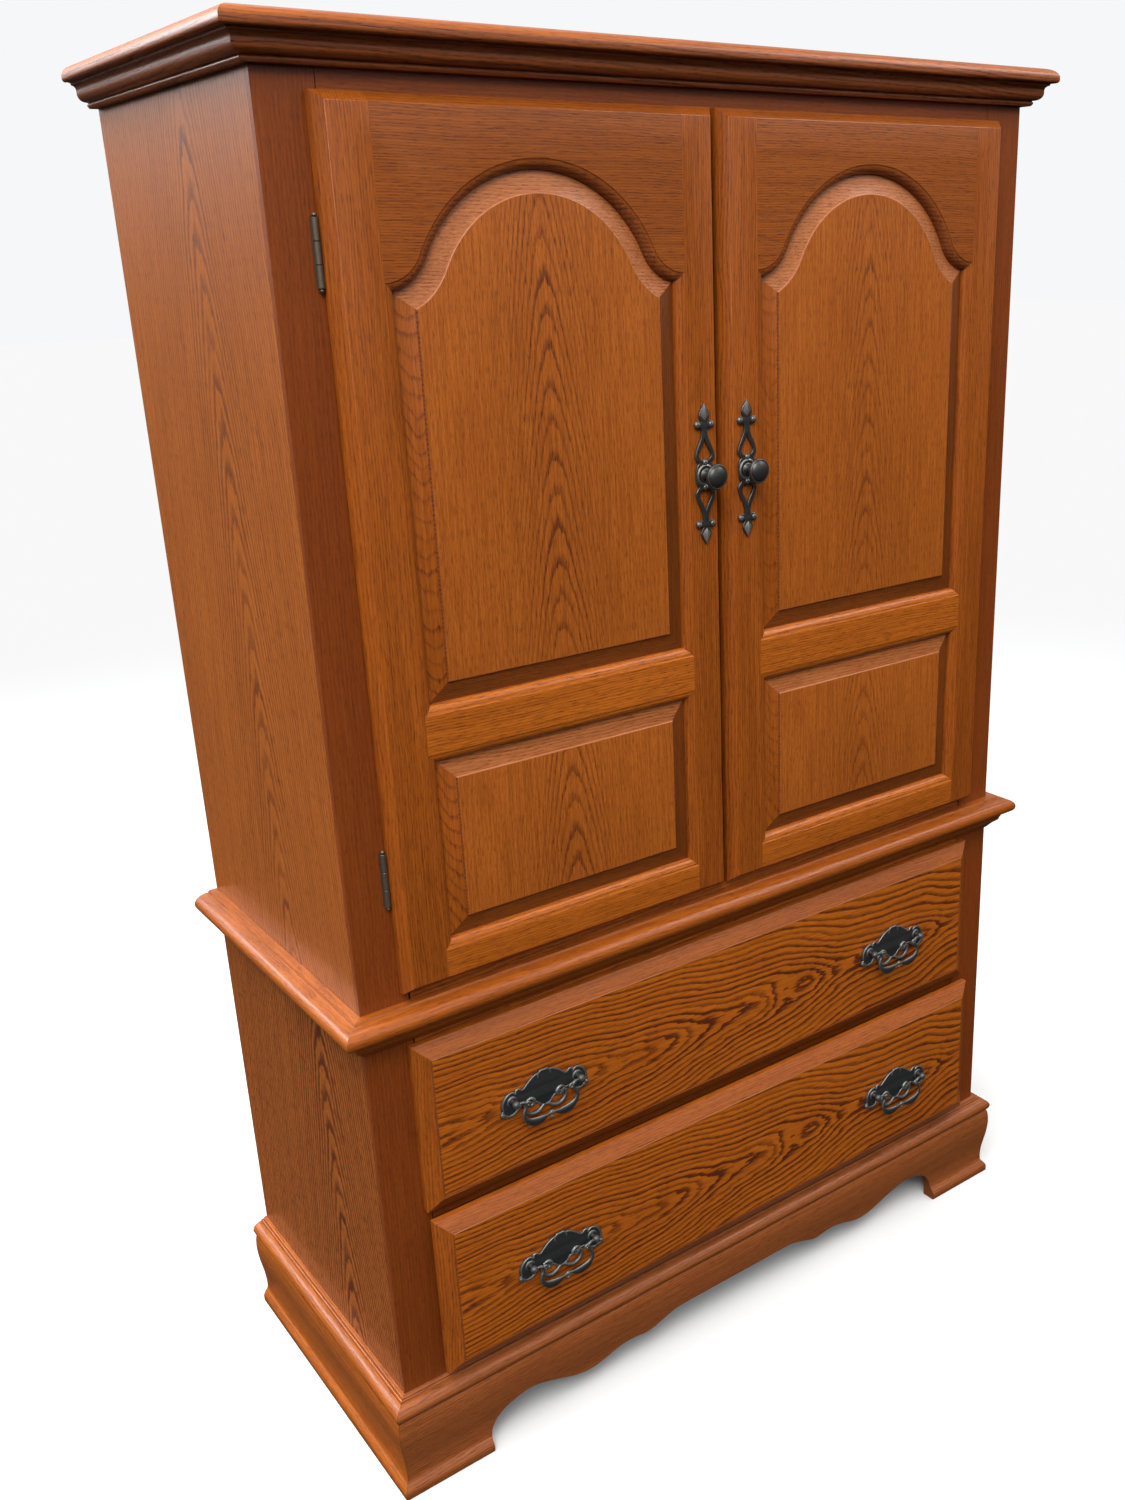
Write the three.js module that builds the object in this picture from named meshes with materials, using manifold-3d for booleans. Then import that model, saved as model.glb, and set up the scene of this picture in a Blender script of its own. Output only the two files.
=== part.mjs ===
// Two-door, two-drawer oak armoire with cathedral-arched raised panels, antique pewter hardware,
// a crown, a waist moulding and a scalloped ogee base. Millimetres, +Z up, front towards -Y.
// While it is drawn, Y = 0 is the front plane of the face frame and X = 0 the middle of the case.
import * as THREE from 'three';
import { mergeVertices } from 'three/addons/utils/BufferGeometryUtils.js';
import Module from 'manifold-3d';

const wasm = await Module();
wasm.setup();

// ---------- Driving dimensions ----------

const CASE_WIDTH = 980;
const CASE_DEPTH = 424;
const GAP = 0.3; // clearance between pieces that touch
const OAK_BOARD = 18; // sides, top, shelf and floors
const BACK_THICKNESS = 6;
const DADO_DEPTH = 6; // groove in a side that holds a board's end

const BASE_HEIGHT = 135.5;
const BASE_TO_DRAWER = 15.5;
const DRAWER_HEIGHT = 215.5;
const DRAWER_GAP = 6;
const DRAWER_TO_WAIST = 4;
const WAIST_HEIGHT = 49;
const WAIST_TO_DOOR = 13;
const DOOR_HEIGHT = 879;
const DOOR_TO_CROWN = 18;
const CROWN_HEIGHT = 42;

const FRAME_THICKNESS = 20;
const FRAME_LIP = 7.3; // edge of a frame stile that shows beside the side panel
const FRAME_STILE = 59;
const CASE_FOOT = 60; // how high above the floor the case starts, hidden by the base

const CROWN_REACH = 33;
const WAIST_REACH = 30.5;
const BASE_CAP_REACH = 21.5;
const BASE_FOOT_REACH = 21;
const BASE_WAIST_REACH = 13.5; // hollow of the ogee
const BASE_BULGE_REACH = 20.5;

const BRACKET_FOOT = 100; // from the case's side to the inner edge of a front foot
const APRON_CLEARANCE = 62; // floor to the flat middle of the apron

const DOOR_OVERLAY = 12; // how far a door laps over the frame
const DOOR_MEETING_GAP = 6;
const DOOR_THICKNESS = 19;
const DOOR_BACK_GAP = 1.5; // behind a closed door, room for the hinges
const DOOR_BEVEL = 9.4;
const DOOR_EDGE = 6.5; // square part of a door's edge, behind the bevel
const OUTER_STILE = 50;
const INNER_STILE = 47;
const BOTTOM_RAIL = 41;
const LOWER_PANEL_HEIGHT = 221;
const MID_RAIL = 41;
const CREST_RAIL = 52; // top rail at the crest of the arch
const ARCH_RISE = 108;
const SHOULDER_RADIUS = 42;

const STICKING_WIDTH = 10; // moulded inner edge of a door frame
const STICKING_DEPTH = 9;
const PANEL_GROOVE_DEPTH = 8;
const PANEL_GROOVE_WIDTH = 6.4;
const PANEL_PLAY = 0.5; // a panel floats in its groove
const PANEL_BEVEL = 21.5;
const PANEL_RECESS = 2.5; // raised field below the door's face

const DRAWER_OVERLAY = 10;
const DRAWER_FRONT_THICKNESS = 18.5;
const DRAWER_BACK_GAP = 0.5; // behind a closed drawer front
const DRAWER_BEVEL = 17;
const DRAWER_BEVEL_DEPTH = 10.4;
const DRAWER_SIDE_PLAY = 5;
const DRAWER_RUN_GAP = 1; // under a drawer's sides
const DRAWER_TOP_PLAY = 24.5; // above a drawer's sides, so that it tips in
const DRAWER_REAR_PLAY = 33;
const DRAWER_WALL = 12;
const DRAWER_BOTTOM = 6;
const DRAWER_BOTTOM_RISE = 10;
const DRAWER_PULLED_OUT = 13; // the lower drawer stands a little open

const SHELF_HEIGHT = 276; // shelf's top above the cabinet floor

const HINGE_INSET = 133; // hinge centre from a door's top or bottom
const HINGE_LENGTH = 60;
const BARREL_RADIUS = 3.1;
const BARREL_SIDE_GAP = 0.4;
const PIN_RADIUS = 1.4;
const LEAF_WIDTH = 16;
const LEAF_THICKNESS = 1;

const KNOB_RISE = 507; // knob's centre above a door's bottom edge
const KNOB_INSET = 27; // from a door's meeting edge
const KNOB_RADIUS = 14;
const KNOB_REACH = 27;
const KNOB_PLATE_LENGTH = 154;
const KNOB_PLATE_THICKNESS = 2.6;

const PULL_SPREAD = 570; // between the centres of a drawer's two pulls
const POST_SPACING = 88.9;
const PULL_PLATE_THICKNESS = 2.4;
const POST_HEAD_RADIUS = 4.8;
const BAIL_STAND_OFF = 12; // bail's pivot in front of the drawer
const BAIL_PIN_RADIUS = 1.2;
const BAIL_RADIUS = 2;
const BAIL_DROP = 31;

// ---------- Heights worked out from them ----------

const HALF = CASE_WIDTH / 2;
const LOWER_DRAWER_Z = BASE_HEIGHT + BASE_TO_DRAWER;
const UPPER_DRAWER_Z = LOWER_DRAWER_Z + DRAWER_HEIGHT + DRAWER_GAP;
const WAIST_Z = UPPER_DRAWER_Z + DRAWER_HEIGHT + DRAWER_TO_WAIST;
const DOOR_Z = WAIST_Z + WAIST_HEIGHT + WAIST_TO_DOOR;
const DOOR_TOP = DOOR_Z + DOOR_HEIGHT;
const CROWN_Z = DOOR_TOP + DOOR_TO_CROWN;
const TOP_Z = CROWN_Z + CROWN_HEIGHT;

const OPENING_HALF = HALF - FRAME_STILE;
const CABINET_FLOOR_Z = DOOR_Z + DRAWER_OVERLAY;
const CABINET_TOP_Z = DOOR_TOP - DRAWER_OVERLAY;
const INNER_HALF = HALF - OAK_BOARD;
const BACK_Y = CASE_DEPTH - BACK_THICKNESS;

const OAK = new THREE.Color('#a5592a');
const OAK_SHADE = new THREE.Color('#74381c');
const OAK_RAW = new THREE.Color('#c9a272');
const PEWTER = new THREE.Color('#3c3d3b');
const BRONZE = new THREE.Color('#4a4038');

// ---------- Solids ----------

// Turns positions and triangles into a Manifold solid, with its faces pointing out.
function solidFrom(positions, index) {
  const raw = new THREE.BufferGeometry();
  raw.setAttribute('position', new THREE.Float32BufferAttribute(positions, 3));
  raw.setIndex(index);
  return solidOf(raw);
}

function signedVolume(p, t) {
  const a = new THREE.Vector3();
  const b = new THREE.Vector3();
  const c = new THREE.Vector3();
  let sum = 0;
  for (let i = 0; i < t.length; i += 3) {
    a.fromArray(p, t[i] * 3);
    b.fromArray(p, t[i + 1] * 3);
    c.fromArray(p, t[i + 2] * 3);
    sum += a.dot(b.cross(c));
  }
  return sum;
}

function solidOf(geometry) {
  const bare = geometry.clone();
  bare.deleteAttribute('normal');
  bare.deleteAttribute('uv');
  const merged = mergeVertices(bare, 1e-4);
  const vertProperties = new Float32Array(merged.attributes.position.array);
  const triVerts = new Uint32Array(merged.index.array);
  if (signedVolume(vertProperties, triVerts) < 0) {
    for (let i = 0; i < triVerts.length; i += 3) {
      [triVerts[i], triVerts[i + 1]] = [triVerts[i + 1], triVerts[i]];
    }
  }
  return new wasm.Manifold(new wasm.Mesh({ numProp: 3, vertProperties, triVerts }));
}

// An outline's triangles, turning the same way as the outline itself.
function capTriangles(outline) {
  const triangles = THREE.ShapeUtils.triangulateShape(outline, []);
  return THREE.ShapeUtils.isClockWise(outline) ? triangles.map((t) => t.reverse()) : triangles;
}

// A closed solid through rings of equal count. A ring is an outline and a function that places it.
function loft(rings) {
  const count = rings[0].outline.length;
  const positions = rings.flatMap(({ outline, place }) => outline.flatMap((p) => place(p).toArray()));
  const index = [];
  for (let ring = 0; ring < rings.length - 1; ring++) {
    for (let i = 0; i < count; i++) {
      const a = ring * count + i;
      const b = ring * count + ((i + 1) % count);
      index.push(a, b, b + count, a, b + count, a + count);
    }
  }
  const last = (rings.length - 1) * count;
  for (const [i, j, k] of capTriangles(rings[0].outline)) {
    index.push(k, j, i);
  }
  for (const [i, j, k] of capTriangles(rings.at(-1).outline)) {
    index.push(last + i, last + j, last + k);
  }
  return solidFrom(positions, index);
}

function box(x0, x1, y0, y1, z0, z1) {
  const block = new THREE.BoxGeometry(Math.abs(x1 - x0), y1 - y0, z1 - z0);
  block.translate((x0 + x1) / 2, (y0 + y1) / 2, (z0 + z1) / 2);
  return solidOf(block);
}

function union(solids) {
  return solids.reduce((whole, piece) => whole.add(piece));
}

function meshFrom(name, solid, color, roughness, metalness) {
  const { vertProperties, triVerts } = solid.getMesh();
  const geometry = new THREE.BufferGeometry();
  geometry.setAttribute('position', new THREE.Float32BufferAttribute(vertProperties, 3));
  geometry.setIndex(Array.from(triVerts));
  geometry.computeVertexNormals();
  const mesh = new THREE.Mesh(geometry, new THREE.MeshStandardMaterial({ color, roughness, metalness }));
  mesh.name = name;
  return mesh;
}

const oak = (name, solid) => meshFrom(name, solid, OAK, 0.38, 0);
const shadedOak = (name, solid) => meshFrom(name, solid, OAK_SHADE, 0.45, 0);
const rawOak = (name, solid) => meshFrom(name, solid, OAK_RAW, 0.7, 0);
const pewter = (name, solid) => meshFrom(name, solid, PEWTER, 0.5, 0.85);
const bronze = (name, solid) => meshFrom(name, solid, BRONZE, 0.45, 0.85);

const sideName = (side) => (side < 0 ? 'left' : 'right');
const SIDES = [-1, 1];

// ---------- Outlines ----------

const v2 = (x, y) => new THREE.Vector2(x, y);

// Points on an arc, from one angle to another, both included.
function arcPoints(cx, cy, radius, from, to, steps) {
  return Array.from({ length: steps + 1 }, (_, i) => {
    const angle = from + ((to - from) * i) / steps;
    return v2(cx + radius * Math.cos(angle), cy + radius * Math.sin(angle));
  });
}

function smooth(points, steps) {
  return new THREE.SplineCurve(points).getPoints(steps);
}

function rectOutline(halfWidth, bottom, top) {
  return (inset) => {
    const half = halfWidth - inset;
    const low = bottom + inset;
    const high = top - inset;
    return [v2(-half, low), v2(half, low), v2(half, high), v2(-half, high)];
  };
}

// A panel opening with a cathedral arch: a round crest that turns into hollow shoulders.
function archOutline(halfWidth, bottom, spring) {
  const shoulderZ = spring + SHOULDER_RADIUS;
  const crestRadius =
    (halfWidth ** 2 + (ARCH_RISE - SHOULDER_RADIUS) ** 2 - SHOULDER_RADIUS ** 2) / (2 * ARCH_RISE);
  const crestZ = spring + ARCH_RISE - crestRadius;
  const turn = Math.atan2(shoulderZ - crestZ, halfWidth);
  return (inset) => {
    const half = halfWidth - inset;
    const shoulder = SHOULDER_RADIUS + inset;
    const end = -Math.PI / 2 - Math.asin(inset / shoulder);
    const right = arcPoints(halfWidth, shoulderZ, shoulder, end, turn - Math.PI, SHOULDER_STEPS);
    const crest = arcPoints(0, crestZ, crestRadius - inset, turn, Math.PI - turn, CREST_STEPS);
    const left = right.map((p) => v2(-p.x, p.y)).reverse();
    return [
      v2(-half, bottom + inset),
      v2(half, bottom + inset),
      ...right.slice(0, -1),
      ...crest,
      ...left.slice(1),
    ];
  };
}
const SHOULDER_STEPS = 5;
const CREST_STEPS = 16;

// ---------- Mouldings that run round the front and sides of the case ----------

const mitre = GAP / Math.SQRT2;

// Places a profile of (overhang, height) at a corner or a back end of the case.
const cornerPlace = (side, inX, inY) => (p) =>
  new THREE.Vector3(side * (HALF + p.x - inX), -p.x + inY, p.y);
const backPlace = (side) => (p) => new THREE.Vector3(side * (HALF + p.x), CASE_DEPTH, p.y);

function wrapMoulding(profile) {
  return loft([
    { outline: profile, place: backPlace(-1) },
    { outline: profile, place: cornerPlace(-1, 0, 0) },
    { outline: profile, place: cornerPlace(1, 0, 0) },
    { outline: profile, place: backPlace(1) },
  ]);
}

function frontMoulding(profile) {
  return loft(SIDES.map((side) => ({ outline: profile, place: cornerPlace(side, mitre, 0) })));
}

function sideMoulding(profile, side) {
  return loft([
    { outline: profile, place: cornerPlace(side, 0, mitre) },
    { outline: profile, place: backPlace(side) },
  ]);
}

// Rounded nosing from its tip up and back to a fine groove, as (overhang, height) from the tip.
function nosing(reach, tipZ, back, rise, steps) {
  return Array.from({ length: steps + 1 }, (_, i) => {
    const angle = (i / steps) * (Math.PI / 2);
    return v2(reach - back * (1 - Math.cos(angle)), tipZ + rise * Math.sin(angle));
  });
}

function crownProfile() {
  const z = CROWN_Z;
  const tip = z + 30;
  const under = CROWN_REACH - 5;
  return [
    v2(GAP, z),
    v2(9, z),
    v2(10, z + 1.5),
    v2(10, z + 5),
    v2(12, z + 6),
    ...arcPoints(12, z + 14, 8, -Math.PI / 2, 0, 4).slice(1),
    v2(20, z + 16.5),
    ...arcPoints(25, z + 16.5, 5, Math.PI, Math.PI / 2, 3).slice(1),
    v2(25, z + 24),
    v2(under, z + 25),
    v2(CROWN_REACH - 1.6, tip - 3),
    ...nosing(CROWN_REACH, tip, 17, 11.4, 5),
    v2(14.5, z + 40),
    v2(13.5, z + CROWN_HEIGHT),
    v2(GAP, z + CROWN_HEIGHT),
  ];
}

function waistProfile() {
  const z = WAIST_Z;
  const tip = z + 35;
  return [
    v2(GAP, z),
    v2(1.5, z + 1),
    v2(4, z + 4),
    v2(9, z + 9),
    v2(13, z + 13),
    v2(14.6, z + 16),
    v2(16, z + 20.5),
    v2(18.5, z + 22.5),
    ...arcPoints(WAIST_REACH - 8, tip - 1, 8.5, -Math.PI / 2, -Math.PI / 12, 3),
    ...nosing(WAIST_REACH, tip, 17.5, 11.8, 5),
    v2(12.2, z + 45.5),
    v2(11.4, z + WAIST_HEIGHT - 1.4),
    v2(10.4, z + WAIST_HEIGHT),
    v2(GAP, z + WAIST_HEIGHT),
  ];
}

function baseProfile() {
  const cap = BASE_HEIGHT - 23; // underside of the cap
  const ogee = smooth(
    [
      v2(BASE_FOOT_REACH, 7),
      v2(BASE_FOOT_REACH - 1.5, 12.5),
      v2(BASE_WAIST_REACH + 3, 17),
      v2(BASE_WAIST_REACH, 27),
      v2(BASE_WAIST_REACH + 1.2, 44),
      v2(BASE_BULGE_REACH - 2.5, 66),
      v2(BASE_BULGE_REACH, 90),
      v2(BASE_BULGE_REACH - 1, 105),
      v2(BASE_BULGE_REACH - 3, cap),
    ],
    14,
  );
  return [
    v2(GAP, 0),
    v2(BASE_FOOT_REACH - 1, 0),
    ...ogee,
    v2(BASE_CAP_REACH - 1.5, cap + 2),
    ...nosing(BASE_CAP_REACH, cap + 7, 12, 12, 4),
    v2(8.6, BASE_HEIGHT - 4.6),
    v2(8, BASE_HEIGHT - 2.8),
    v2(5.4, BASE_HEIGHT - 1.8),
    v2(4.8, BASE_HEIGHT - 3),
    v2(4.2, BASE_HEIGHT - 1.2),
    v2(2.4, BASE_HEIGHT),
    v2(GAP, BASE_HEIGHT),
  ];
}

// The scalloped lower edge of the front apron, as a cutter through it.
function apronCutter() {
  const foot = HALF - BRACKET_FOOT;
  const edge = smooth(
    [
      v2(foot - 305, APRON_CLEARANCE),
      v2(foot - 287, APRON_CLEARANCE - 1),
      v2(foot - 268, APRON_CLEARANCE - 7),
      v2(foot - 252, APRON_CLEARANCE - 13.5),
      v2(foot - 238, APRON_CLEARANCE - 16),
      v2(foot - 218, APRON_CLEARANCE - 13),
      v2(foot - 200, APRON_CLEARANCE - 13.3),
      v2(foot - 184, APRON_CLEARANCE - 17.5),
      v2(foot - 167, APRON_CLEARANCE - 23),
      v2(foot - 149, APRON_CLEARANCE - 25.5),
      v2(foot - 128, APRON_CLEARANCE - 22.5),
      v2(foot - 106, APRON_CLEARANCE - 14),
      v2(foot - 84, APRON_CLEARANCE - 5),
      v2(foot - 59, APRON_CLEARANCE + 1.3),
      v2(foot - 34, APRON_CLEARANCE - 4),
      v2(foot - 15, APRON_CLEARANCE - 15),
      v2(foot - 4, APRON_CLEARANCE - 30),
      v2(foot, APRON_CLEARANCE - 46),
    ],
    44,
  );
  const right = [...edge, v2(foot, -1)];
  const outline = [...right.map((p) => v2(-p.x, p.y)).reverse(), ...right];
  const depth = BASE_CAP_REACH + BASE_FOOT_REACH;
  return loft([
    { outline, place: (p) => new THREE.Vector3(p.x, -depth, p.y) },
    { outline, place: (p) => new THREE.Vector3(p.x, depth, p.y) },
  ]);
}

// ---------- The case ----------

// Hinge centres on a door, from the floor.
const HINGE_HEIGHTS = { lower: DOOR_Z + HINGE_INSET, upper: DOOR_TOP - HINGE_INSET };

const DOOR_EDGE_X = OPENING_HALF + DOOR_OVERLAY; // a door's hinge edge
const PIVOT_X = DOOR_EDGE_X + BARREL_RADIUS + BARREL_SIDE_GAP;
const PIVOT_Y = -BARREL_RADIUS - GAP;
const FRAME_LEAF_OUTER = PIVOT_X + BARREL_RADIUS;

// Boards that sit in grooves in the side panels: each is the height of its top face.
const BOARD_TOPS = {
  cabinetFloor: CABINET_FLOOR_Z,
  shelf: CABINET_FLOOR_Z + SHELF_HEIGHT,
  drawerDivider: UPPER_DRAWER_Z + DRAWER_OVERLAY,
  baseFloor: LOWER_DRAWER_Z + DRAWER_OVERLAY,
};
const TOP_BOARD_Z = TOP_Z - OAK_BOARD;
const BOARD_REACH = INNER_HALF + DADO_DEPTH - GAP;
const BOARD_BACK_Y = BACK_Y - GAP;

function sidePanel(side) {
  const inner = side * INNER_HALF;
  const groove = side * (INNER_HALF + DADO_DEPTH);
  let panel = box(inner, side * HALF, FRAME_LIP + GAP, CASE_DEPTH, CASE_FOOT, TOP_BOARD_Z - GAP);
  for (const top of Object.values(BOARD_TOPS)) {
    panel = panel.subtract(
      box(inner - side, groove, 0, CASE_DEPTH + 1, top - OAK_BOARD - GAP, top + GAP),
    );
  }
  const rabbet = box(inner - side, groove + side * GAP, BACK_Y - GAP, CASE_DEPTH + 1, 0, TOP_Z);
  return oak(`side_panel_${sideName(side)}`, panel.subtract(rabbet));
}

// A stile's outer edge is rabbeted for the side panel, and its face is let in for the hinges.
function frameStile(side) {
  const inner = side * OPENING_HALF;
  const lip = box(inner, side * HALF, 0, FRAME_LIP, CASE_FOOT, TOP_BOARD_Z - GAP);
  const core = box(inner, side * (INNER_HALF - GAP), 0, FRAME_THICKNESS, CASE_FOOT, TOP_BOARD_Z - GAP);
  const pockets = Object.values(HINGE_HEIGHTS).map((z) =>
    box(
      side * (FRAME_LEAF_OUTER - LEAF_WIDTH - GAP),
      side * (FRAME_LEAF_OUTER + GAP),
      -1,
      LEAF_THICKNESS + GAP,
      z - HINGE_LENGTH / 2 - GAP,
      z + HINGE_LENGTH / 2 + GAP,
    ),
  );
  return shadedOak(`frame_stile_${sideName(side)}`, lip.add(core).subtract(union(pockets)));
}

function frameTopRail() {
  const reach = OPENING_HALF - GAP;
  return shadedOak(
    'frame_top_rail',
    box(-reach, reach, 0, FRAME_THICKNESS, CABINET_TOP_Z, TOP_BOARD_Z - GAP),
  );
}

// A board let into the sides, with a frame rail along its front.
function railedBoard(top, railBottom) {
  const reach = OPENING_HALF - GAP;
  const rail = box(-reach, reach, 0, FRAME_THICKNESS + 1, railBottom, top);
  const board = box(
    -BOARD_REACH,
    BOARD_REACH,
    FRAME_THICKNESS + GAP,
    BOARD_BACK_Y,
    top - OAK_BOARD,
    top,
  );
  return rail.add(board);
}

function carcassBoards() {
  const cabinetFloor = railedBoard(BOARD_TOPS.cabinetFloor, WAIST_Z - DRAWER_TO_WAIST - DRAWER_OVERLAY);
  const divider = railedBoard(
    BOARD_TOPS.drawerDivider,
    LOWER_DRAWER_Z + DRAWER_HEIGHT - DRAWER_OVERLAY,
  );
  const floor = railedBoard(BOARD_TOPS.baseFloor, CASE_FOOT + OAK_BOARD);
  const shelfTop = BOARD_TOPS.shelf;
  const shelfFront = FRAME_THICKNESS + 2 * DADO_DEPTH;
  const shelf = box(-BOARD_REACH, BOARD_REACH, shelfFront, BOARD_BACK_Y, shelfTop - OAK_BOARD, shelfTop);
  const topBoard = box(-HALF, HALF, 0, CASE_DEPTH, TOP_BOARD_Z, TOP_Z);
  const backHalf = INNER_HALF + DADO_DEPTH;
  const back = box(-backHalf, backHalf, BACK_Y, CASE_DEPTH, CASE_FOOT, TOP_BOARD_Z - GAP);
  return [
    oak('cabinet_floor', cabinetFloor),
    shadedOak('drawer_divider', divider),
    shadedOak('base_floor', floor),
    oak('shelf', shelf),
    oak('top_board', topBoard),
    rawOak('back_panel', back),
  ];
}

function mouldings() {
  const base = baseProfile();
  return [
    oak('crown_moulding', wrapMoulding(crownProfile())),
    oak('waist_moulding', wrapMoulding(waistProfile())),
    oak('base_front', frontMoulding(base).subtract(apronCutter())),
    ...SIDES.map((side) => oak(`base_${sideName(side)}`, sideMoulding(base, side))),
  ];
}

// ---------- Hinges ----------

const KNUCKLE = HINGE_LENGTH / 3;

// Revolved about a vertical axis at the hinge pin, from (radius, height) points.
function turned(points, sides, x, y, z) {
  const lathe = new THREE.LatheGeometry(points, sides);
  lathe.rotateX(Math.PI / 2);
  lathe.translate(x, y, z);
  return solidOf(lathe);
}

const BARREL_SIDES = 12;

// The leaf on the frame carries the two outer knuckles and the pin with its ball tips.
function frameLeaf(side, z) {
  const half = HINGE_LENGTH / 2;
  const ball = 2.2;
  const tip = [v2(PIN_RADIUS, half + 0.6), v2(ball, half + 1.8), v2(1.5, half + 3.6), v2(0, half + 4.2)];
  const upper = [
    v2(PIN_RADIUS, KNUCKLE / 2 + GAP),
    v2(BARREL_RADIUS, KNUCKLE / 2 + GAP),
    v2(BARREL_RADIUS, half),
    ...tip,
  ];
  const profile = [...upper.map((p) => v2(p.x, -p.y)).reverse(), ...upper];
  const barrel = turned(profile, BARREL_SIDES, side * PIVOT_X, PIVOT_Y, z);
  const plate = box(
    side * (FRAME_LEAF_OUTER - LEAF_WIDTH),
    side * FRAME_LEAF_OUTER,
    0,
    LEAF_THICKNESS,
    z - half,
    z + half,
  );
  const webs = SIDES.map((end) => {
    const from = z + end * (KNUCKLE / 2 + GAP);
    const to = z + end * half;
    return box(
      side * (PIVOT_X - 1.5),
      side * (PIVOT_X + 1.5),
      PIVOT_Y + PIN_RADIUS,
      LEAF_THICKNESS / 2,
      Math.min(from, to),
      Math.max(from, to),
    );
  });
  return union([barrel, plate, ...webs]);
}

// The leaf on the door carries the middle knuckle, which turns on the pin.
function doorLeaf(side, z) {
  const back = -DOOR_BACK_GAP;
  const inner = DOOR_EDGE_X - LEAF_WIDTH + 2;
  const half = HINGE_LENGTH / 2;
  const middle = KNUCKLE / 2;
  const knuckle = turned(
    [v2(0, -middle), v2(BARREL_RADIUS, -middle), v2(BARREL_RADIUS, middle), v2(0, middle)],
    BARREL_SIDES,
    side * PIVOT_X,
    PIVOT_Y,
    z,
  );
  const bore = turned(
    [v2(0, -half), v2(PIN_RADIUS + GAP, -half), v2(PIN_RADIUS + GAP, half), v2(0, half)],
    BARREL_SIDES,
    side * PIVOT_X,
    PIVOT_Y,
    z,
  );
  const plate = box(
    side * inner,
    side * DOOR_EDGE_X,
    back - LEAF_THICKNESS,
    back,
    z - half,
    z + half,
  );
  const web = box(
    side * (DOOR_EDGE_X - 1),
    side * PIVOT_X,
    back - LEAF_THICKNESS,
    back,
    z - middle,
    z + middle,
  );
  return union([knuckle, plate, web]).subtract(bore);
}

// ---------- Doors ----------

const DOOR_FACE_Y = -DOOR_BACK_GAP - DOOR_THICKNESS;
const DOOR_INNER_X = DOOR_MEETING_GAP / 2;
const OPENING_INNER_X = DOOR_INNER_X + INNER_STILE;
const OPENING_OUTER_X = DOOR_EDGE_X - OUTER_STILE;
const PANEL_HALF = (OPENING_OUTER_X - OPENING_INNER_X) / 2;
const PANEL_X = (OPENING_OUTER_X + OPENING_INNER_X) / 2;
const LOWER_OPENING_Z = DOOR_Z + BOTTOM_RAIL;
const LOWER_OPENING_TOP = LOWER_OPENING_Z + LOWER_PANEL_HEIGHT;
const UPPER_OPENING_Z = LOWER_OPENING_TOP + MID_RAIL;
const ARCH_SPRING_Z = DOOR_TOP - CREST_RAIL - ARCH_RISE;
const STICKING_Y = DOOR_FACE_Y + STICKING_DEPTH;
const GROOVE_FRONT_Y = STICKING_Y + GAP;
const GROOVE_BACK_Y = GROOVE_FRONT_Y + PANEL_GROOVE_WIDTH;

const OUTLINES = {
  upper: archOutline(PANEL_HALF, UPPER_OPENING_Z, ARCH_SPRING_Z),
  lower: rectOutline(PANEL_HALF, LOWER_OPENING_Z, LOWER_OPENING_TOP),
};

// Lofts an outline through steps of (inset, Y), on the door of one side.
function doorLoft(outlineAt, side, steps) {
  return loft(
    steps.map(([inset, y]) => ({
      outline: outlineAt(inset),
      place: (p) => new THREE.Vector3(side * (PANEL_X + p.x), y, p.y),
    })),
  );
}

// What a door frame's opening takes away: the moulded edge, the panel's groove and the back lip.
function openingCutter(outlineAt, side) {
  const steps = [[0, DOOR_FACE_Y - 1]];
  const rounds = 3;
  for (let i = 0; i <= rounds; i++) {
    const angle = (i / rounds) * (Math.PI / 2);
    const inset = 1 + (STICKING_WIDTH - 1) * Math.sin(angle);
    steps.push([inset, STICKING_Y - STICKING_DEPTH * Math.cos(angle)]);
  }
  steps.splice(1, 0, [0, DOOR_FACE_Y], [0.5, DOOR_FACE_Y + 0.4]);
  steps[3] = [1, DOOR_FACE_Y + 0.5];
  steps.push([STICKING_WIDTH, GROOVE_FRONT_Y]);
  steps.push([STICKING_WIDTH - PANEL_GROOVE_DEPTH, GROOVE_FRONT_Y + GAP]);
  steps.push([STICKING_WIDTH - PANEL_GROOVE_DEPTH, GROOVE_BACK_Y - GAP]);
  steps.push([STICKING_WIDTH, GROOVE_BACK_Y]);
  steps.push([STICKING_WIDTH, 1]);
  return doorLoft(outlineAt, side, steps);
}

// A bevelled slab: square at the back, with a bevel all round the front edge.
function bevelledSlab(halfWidth, bottom, top, x, backY, edgeY, faceY, bevel) {
  const outlineAt = rectOutline(halfWidth, bottom, top);
  const place = (y) => (p) => new THREE.Vector3(x + p.x, y, p.y);
  return loft([
    { outline: outlineAt(0), place: place(backY) },
    { outline: outlineAt(0), place: place(edgeY) },
    { outline: outlineAt(bevel), place: place(faceY) },
  ]);
}

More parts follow.
